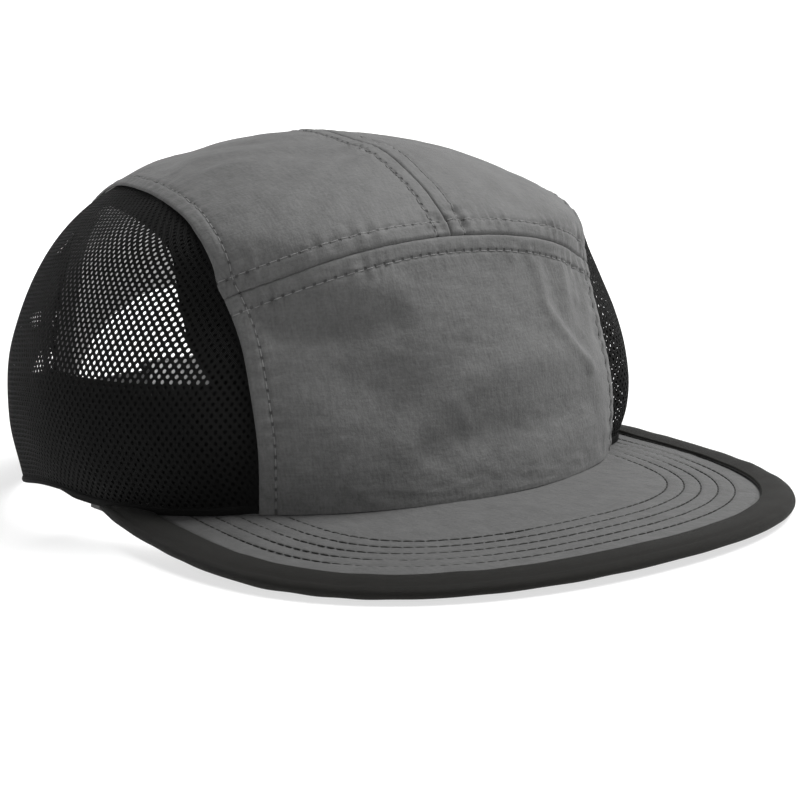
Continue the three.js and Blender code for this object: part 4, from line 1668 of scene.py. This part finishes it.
@dataclass
class Brim:
    """The nylon-covered brim with its five rows of stitches, and the binding folded over its edge."""

    shape: BrimShape
    crown: Crown
    nylon: bpy.types.Material
    bound: bpy.types.Material
    stitching: Stitching
    rows: tuple[float, ...] = (18.3, 22.8, 27.4, 31.9, 36.5)
    top: float = 0.75  # the cover's height over the brim's middle surface
    under: float = 1.0
    lip: float = 1.0  # the cover turns up by this much behind the crown's edge
    crease: float = 0.6  # depth, place and half width of the crease beside the binding
    crease_at: float = 0.5
    crease_half: float = 0.7
    waves: tuple[float, float] = (0.1, 45.0)  # height and wavelength
    small_waves: tuple[float, float] = (0.03, 8.0)
    groove: float = 0.25
    groove_half: float = 0.55
    edge_inset: float = 2.4  # the bound edge lies this far inside the outline
    edge_half: float = 1.5
    binding_width: float = 11.2
    binding_wall: float = 0.5
    roll: float = 0.5  # the binding bulges by this share of its height
    under_roll: float = 0.15  # and by this share underneath
    edge_row: float = 0.35  # the binding is sewn on this far inside its edge
    clear: float = 0.8
    end_width: float = 1.8
    start_inset: float = 6.0
    panel_wall: float = 1.2
    most_room: float = 60.0
    lip_from: tuple[float, float] = (0.1, 0.6)  # where the cover's lip has gone, from its root
    outline_every: int = 6
    board_columns: int = 290
    board_rows: tuple[int, int] = (80, 14)  # across the rows of stitches, and behind them
    rows_end: float = 0.6  # the share of the cover that holds the rows of stitches
    last_rows: tuple[float, ...] = (0.97, 0.985, 0.993, 1.0)  # close together under the crown's edge
    least_inset: float = 0.6  # the cover starts under the binding, by this share of a narrow one
    binding_columns: int = 340
    binding_points: tuple[int, int] = (9, 13)  # on a side, and round its edge
    binding_waves: tuple[float, float] = (0.06, 14.0)
    binding_lip: tuple[float, float] = (0.3, 0.6)  # its cut edge turns down to here
    row_points: int = 700
    row_end: float = 1.5  # the rows of stitches stop this far from the crown
    binding_cut: Cut = Cut(0.0245, 0.33, 0.0078)
    end: float = field(init=False)

    def __post_init__(self) -> None:
        """Finds where the binding runs out at the ends of the brim."""
        wide = lambda part: self.width(part) > self.end_width
        self.end = float(bisect(wide, np.array(0.5), np.array(1.0)))

    def room(self, part: Array) -> Array:
        """How far inside its outline the brim reaches the crown."""
        ring = SECTIONS[0]

        def outside(inset: Array) -> Array:
            """True where the place is still outside the crown."""
            point = self.shape.edge(part, inset)
            across = (np.abs(point[..., 0]) / ring.half_width) ** ring.square
            half = self.crown.centre - ring.front
            along = (np.abs(point[..., 1] - self.crown.centre) / half) ** ring.square
            return across + along > 1

        part = np.asarray(part, float)
        return bisect(outside, np.zeros(part.shape), np.full(part.shape, self.most_room))

    def width(self, part: Array) -> Array:
        """The binding's width, which narrows at the ends of the brim."""
        return np.minimum(self.binding_width, self.room(part) - self.clear)

    def root(self, part: Array) -> Array:
        """Where the brim ends, just inside the crown's panels, in plan."""
        crown = self.crown
        behind = lambda turn: crown.plan(SECTIONS[0], turn)[1] < self.shape.end_y
        end_turn = float(bisect(behind, np.array(-np.pi / 2), np.array(0.0)))
        turn = -np.pi / 2 + part * (end_turn + np.pi / 2)
        step = SMALL_STEP
        plan = lambda a: np.stack(crown.plan(SECTIONS[0], a), -1)
        way = unit(plan(turn + step) - plan(turn - step))
        outward = np.stack([way[..., 1], -way[..., 0]], -1)
        return plan(turn) - outward * self.panel_wall

    def relief(self, plan: Array) -> Array:
        """The grooves of the rows of stitches and the brim's faint waves."""
        fine = self.shape.outline[:: self.outline_every]
        flat = plan.reshape(-1, 2)
        away = np.array([np.linalg.norm(fine - point, axis=1).min() for point in flat])
        away = away.reshape(plan.shape[:-1])
        grooves = sum(self.groove * bell(away - row, self.groove_half) for row in self.rows)
        grooves += self.crease * bell(away - self.binding_width - self.crease_at, self.crease_half)
        spread = np.concatenate([plan, np.zeros_like(plan[..., :1])], -1)
        (height, wave), (small, small_wave) = self.waves, self.small_waves
        waves = height * ripples(spread, wave, Seed.BRIM_WAVES)
        return waves + small * ripples(spread, small_wave, Seed.BRIM_RIPPLES) - grooves

    def board(self) -> bpy.types.Object:
        """The brim itself."""
        parts = np.linspace(-self.end, self.end, self.board_columns)
        near = np.linspace(0, self.rows_end, self.board_rows[0])
        far = np.linspace(self.rows_end, self.last_rows[0], self.board_rows[1])[1:]
        share = np.concatenate([near, far, self.last_rows[1:]])
        part, share = np.meshgrid(parts, share)
        outer = np.minimum(self.start_inset, self.width(part) * self.least_inset)
        start = self.shape.edge(part, outer)
        root = self.root(part)
        plan = start + (root - start) * share[..., None]
        lip = self.lip * (1 - smoothstep(np.linalg.norm(root - plan, axis=-1), *self.lip_from))
        points = self.shape.lift(plan, self.top + self.relief(plan) + lip)
        piece = cloth_piece("brim_cover", points, self.top + self.under)
        return dress(piece, self.nylon, "grey_nylon", "brim")

    def binding(self) -> bpy.types.Object:
        """The tape folded over the brim's edge."""
        half, first = self.edge_half, self.edge_inset
        on_side, round_edge = self.binding_points
        angle = np.linspace(-np.pi / 2, np.pi / 2, round_edge)
        curve = np.stack([first + half * (1 - np.cos(angle)), half * np.sin(angle)], -1)
        bend = first + half
        reach = self.binding_width - bend
        share = np.linspace(1, 0, on_side)[:-1]
        crowned = half * (1 + self.under_roll * np.sin(np.pi * share))
        lower = np.stack([bend + reach * share, -crowned], -1)
        lip_out, lip_down = self.binding_lip
        lip = np.array([[self.binding_width + lip_out, lip_down - half]])
        section = np.concatenate([lip, lower, curve])
        upper = section[len(lower) :: -1] * np.array([1, -1])
        bulge = np.clip((upper[:, 0] - bend) / reach, 0, 1)
        upper[:, 1] += half * (self.roll - self.under_roll) * np.sin(np.pi * np.sqrt(bulge))
        section = np.concatenate([section, upper])
        parts = np.linspace(-self.end, self.end, self.binding_columns)
        part, index = np.meshgrid(parts, np.arange(len(section)))
        inset, offset = section[index, 0], section[index, 1]
        width = self.width(part)
        flat = bend + (inset - bend) * np.maximum(width - bend, 0) / reach
        inset = np.where(inset > bend, flat, np.minimum(inset, width))
        plan = self.shape.edge(part, inset)
        spread = np.concatenate([plan, offset[..., None]], -1)
        height, wave = self.binding_waves
        waves = height * ripples(spread, wave, Seed.BINDING) * np.sign(offset)
        points = self.shape.lift(plan, offset + waves)
        piece = cloth_piece("brim_binding_cloth", points, self.binding_wall)
        self.binding_cut.declare(piece, "brim")
        return dress(piece, self.bound, "charcoal_binding", "brim_binding")

    def stitch(self) -> None:
        """Adds the rows of stitches, which stop at the crown."""
        part = np.linspace(-self.end, self.end, self.row_points)
        for row in (self.binding_width + self.edge_row, *self.rows):
            free = part[self.room(part) > row + self.row_end]
            plan = self.shape.edge(free, np.full_like(free, row))
            line = self.shape.lift(plan, self.top - self.groove)
            up = np.broadcast_to(np.array(UPWARDS), line.shape)
            self.stitching.add(line, up)


@dataclass
class RearStrap:
    """The webbing strap across the back opening, and its plain buckle."""

    crown: Crown
    webbing: bpy.types.Material
    plastic: bpy.types.Material
    half_length: float = 50.5
    low: float = 3.6
    high: float = 22.6
    depth: float = 1.55
    wall: float = 1.35
    edge_thins: float = 0.35  # the webbing is this much thinner at its edges
    edge_half: float = 0.05  # within this share of its width
    columns: int = 110
    rows: int = 20
    buckle_wall: float = 1.4
    buckle_round: float = 0.5
    strap_cut: Cut = Cut(0.019, 0.104, 0.00196)

    def strap(self) -> bpy.types.Object:
        """The strap, on the curve of the rim."""
        x = np.linspace(-self.half_length, self.half_length, self.columns)
        x, height = np.meshgrid(x, np.linspace(self.low, self.high, self.rows))
        turn = self.crown.back_turn(x)
        points = self.crown.point(self.crown.level_at(turn, height), turn)
        share = (height - self.low) / (self.high - self.low)
        edge = -self.edge_thins * (bell(share, self.edge_half) + bell(share - 1, self.edge_half))
        piece = crown_cloth("adjuster_webbing", self.crown, points, self.depth, self.wall, edge)
        self.strap_cut.declare(piece, "strap_buckle")
        return dress(piece, self.webbing, "black_webbing", "adjuster_strap")

    def buckle(self) -> bpy.types.Object:
        """The buckle, a flat sleeve with rounded edges that the strap runs through."""
        low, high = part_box("strap_buckle")
        size = high - low
        clear_selection()
        bpy.ops.mesh.primitive_cube_add(size=1, location=(low + high) / 2, scale=size)
        piece = bpy.context.object
        piece.name = "strap_buckle_sleeve"
        bpy.ops.object.transform_apply(location=True, rotation=True, scale=True)
        bpy.ops.object.mode_set(mode="EDIT")
        bpy.ops.mesh.select_mode(type="FACE")
        bpy.ops.mesh.select_all(action="DESELECT")
        bpy.ops.object.mode_set(mode="OBJECT")
        for polygon in piece.data.polygons:
            is_open_end = abs(polygon.normal.x) > 0.5
            polygon.select = is_open_end
        bpy.ops.object.mode_set(mode="EDIT")
        bpy.ops.mesh.inset(thickness=self.buckle_wall * MM)
        bpy.ops.mesh.bridge_edge_loops()
        bpy.ops.object.mode_set(mode="OBJECT")
        apply_modifier(piece, "BEVEL", width=self.buckle_round * MM, segments=3, limit_method="ANGLE")
        smooth(piece, angle=40)
        return dress(piece, self.plastic, "black_plastic", "strap_buckle")


class Lamp(NamedTuple):
    """A soft square light: its place and the place that it faces, in metres, and its watts."""

    name: str
    place: tuple[float, float, float]
    size: float
    power: float
    aim: tuple[float, float, float] = (0, 0, 0.05)


@dataclass
class Studio:
    """The pale floor, the soft lights and the camera at the photograph's angle, in metres."""

    target: tuple[float, float, float] = (0.006476, -0.005798, 0.024905)
    distance: float = 0.4653
    azimuth: float = -34.654835
    elevation: float = 9.751262
    roll: float = -1.921044
    lens: float = 70.767
    sensor: float = 36
    clip: tuple[float, float] = (0.01, 50)
    floor_radius: float = 1.5
    floor_depth: float = 0.0003  # the floor lies this far under the cap
    wall_radius: float = 0.9
    wall_steps: int = 8
    floor_corners: int = 96
    world: float = 0.09
    lamps: tuple[Lamp, ...] = (
        Lamp("key", (0.95, -0.3, 1.75), 1.3, 74),
        Lamp("fill", (-1.2, -1.2, 1.0), 1.4, 3.5),
        Lamp("backdrop", (0.3, 0.9, 1.5), 1.2, 60, aim=(1.3, 2.3, 0.3)),
    )
    inner_place: tuple[float, float, float] = (0.015, 0.025, 0.05)
    inner_radius: float = 0.03
    inner_power: float = 1.2

    def camera(self) -> None:
        """Places the camera."""
        data = bpy.data.cameras.new("camera")
        data.lens = self.lens
        data.sensor_width = self.sensor
        data.clip_start, data.clip_end = self.clip
        camera = link_object("camera", data)
        turn = (
            Matrix.Rotation(math.radians(self.azimuth), 4, "Z")
            @ Matrix.Rotation(math.radians(90 - self.elevation), 4, "X")
            @ Matrix.Rotation(math.radians(self.roll), 4, "Z")
        )
        back = turn.to_3x3() @ Vector((0, 0, 1))
        camera.matrix_world = Matrix.Translation(Vector(self.target) + back * self.distance) @ turn
        bpy.context.scene.camera = camera

    def floor(self) -> None:
        """A round floor whose edge curves up into a low wall."""
        clear_selection()
        corners, radius = self.floor_corners, self.floor_radius
        bpy.ops.mesh.primitive_circle_add(vertices=corners, radius=radius, fill_type="NGON")
        bpy.ops.transform.translate(value=(0, 0, -self.floor_depth))
        floor = bpy.context.object
        floor.name = "floor"
        bpy.ops.object.mode_set(mode="EDIT")
        bpy.ops.mesh.select_all(action="SELECT")
        bend, quarter = self.wall_radius, math.pi / 2
        length = bend * quarter / self.wall_steps
        for step in range(self.wall_steps):
            slope = (step + 0.5) / self.wall_steps * quarter
            radius = self.floor_radius + bend * math.sin(step / self.wall_steps * quarter)
            grow = (radius + length * math.cos(slope)) / radius
            up = (0, 0, length * math.sin(slope))
            bpy.ops.mesh.extrude_edges_move(TRANSFORM_OT_translate={"value": up})
            bpy.ops.transform.resize(value=(grow, grow, 1), center_override=(0, 0, 0))
        bpy.ops.object.mode_set(mode="OBJECT")
        bpy.ops.object.transform_apply(location=True, rotation=True, scale=True)
        smooth(floor, angle=60)
        floor.data.materials.append(PaleFloor().material())

    def light(self, name: str, kind: str, place: Sequence[float], power: float) -> bpy.types.Object:
        """A light that the camera doesn't see."""
        data = bpy.data.lights.new(name, kind)
        data.energy = power
        light = link_object(name, data)
        light.location = place
        light.visible_camera = False
        return light

    def lamp(self, lamp: Lamp) -> None:
        """One of the studio's soft square lights."""
        light = self.light(lamp.name, "AREA", lamp.place, lamp.power)
        light.data.size = lamp.size
        way = Vector(lamp.aim) - Vector(lamp.place)
        light.rotation_euler = way.to_track_quat("-Z", "Y").to_euler()

    def inner_light(self) -> None:
        """A faint soft light inside the crown, for the daylight that comes through the thin cloth."""
        light = self.light("inside", "POINT", self.inner_place, self.inner_power)
        light.data.shadow_soft_size = self.inner_radius

    def build(self) -> None:
        """Makes the whole studio."""
        self.camera()
        self.floor()
        for lamp in self.lamps:
            self.lamp(lamp)
        self.inner_light()
        world = bpy.data.worlds.new("studio")
        world.use_nodes = True
        sky = world.node_tree.nodes["Background"].inputs
        sky["Color"].default_value = (1, 1, 1, 1)
        sky["Strength"].default_value = self.world
        bpy.context.scene.world = world
        bpy.context.scene.view_settings.view_transform = "Standard"


def main() -> None:
    """Builds the cap's looks, piece by piece."""
    logging.basicConfig(level=logging.INFO, format="%(message)s")
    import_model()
    Studio().build()
    brim_shape = BrimShape()
    crown = Crown(brim_shape)
    nylon = CROWN_NYLON.material()
    crown_rows = Stitching()
    panels = NylonPanels(crown, nylon, crown_rows)
    panels.front()
    for side in Side:
        panels.top(side)
    dress(crown_rows.build("crown_stitches"), LIGHT_THREAD.material(), "grey_nylon")
    nets = NetPanels(crown, NET.material())
    bands = InnerBands(crown, COTTON.material())
    for side in Side:
        nets.panel(side)
        bands.tape(side)
    bands.sweatband()
    brim_rows = Stitching(length=2.75, width=0.5)
    brim = Brim(brim_shape, crown, SHADED_BRIM_NYLON.material(), BINDING.material(), brim_rows)
    brim.board()
    brim.binding()
    brim.stitch()
    dress(brim_rows.build("brim_stitches"), DARK_THREAD.material(), "charcoal_binding")
    strap = RearStrap(crown, WEBBING.material(), Plastic().material())
    strap.strap()
    strap.buckle()


if __name__ == "__main__":
    main()
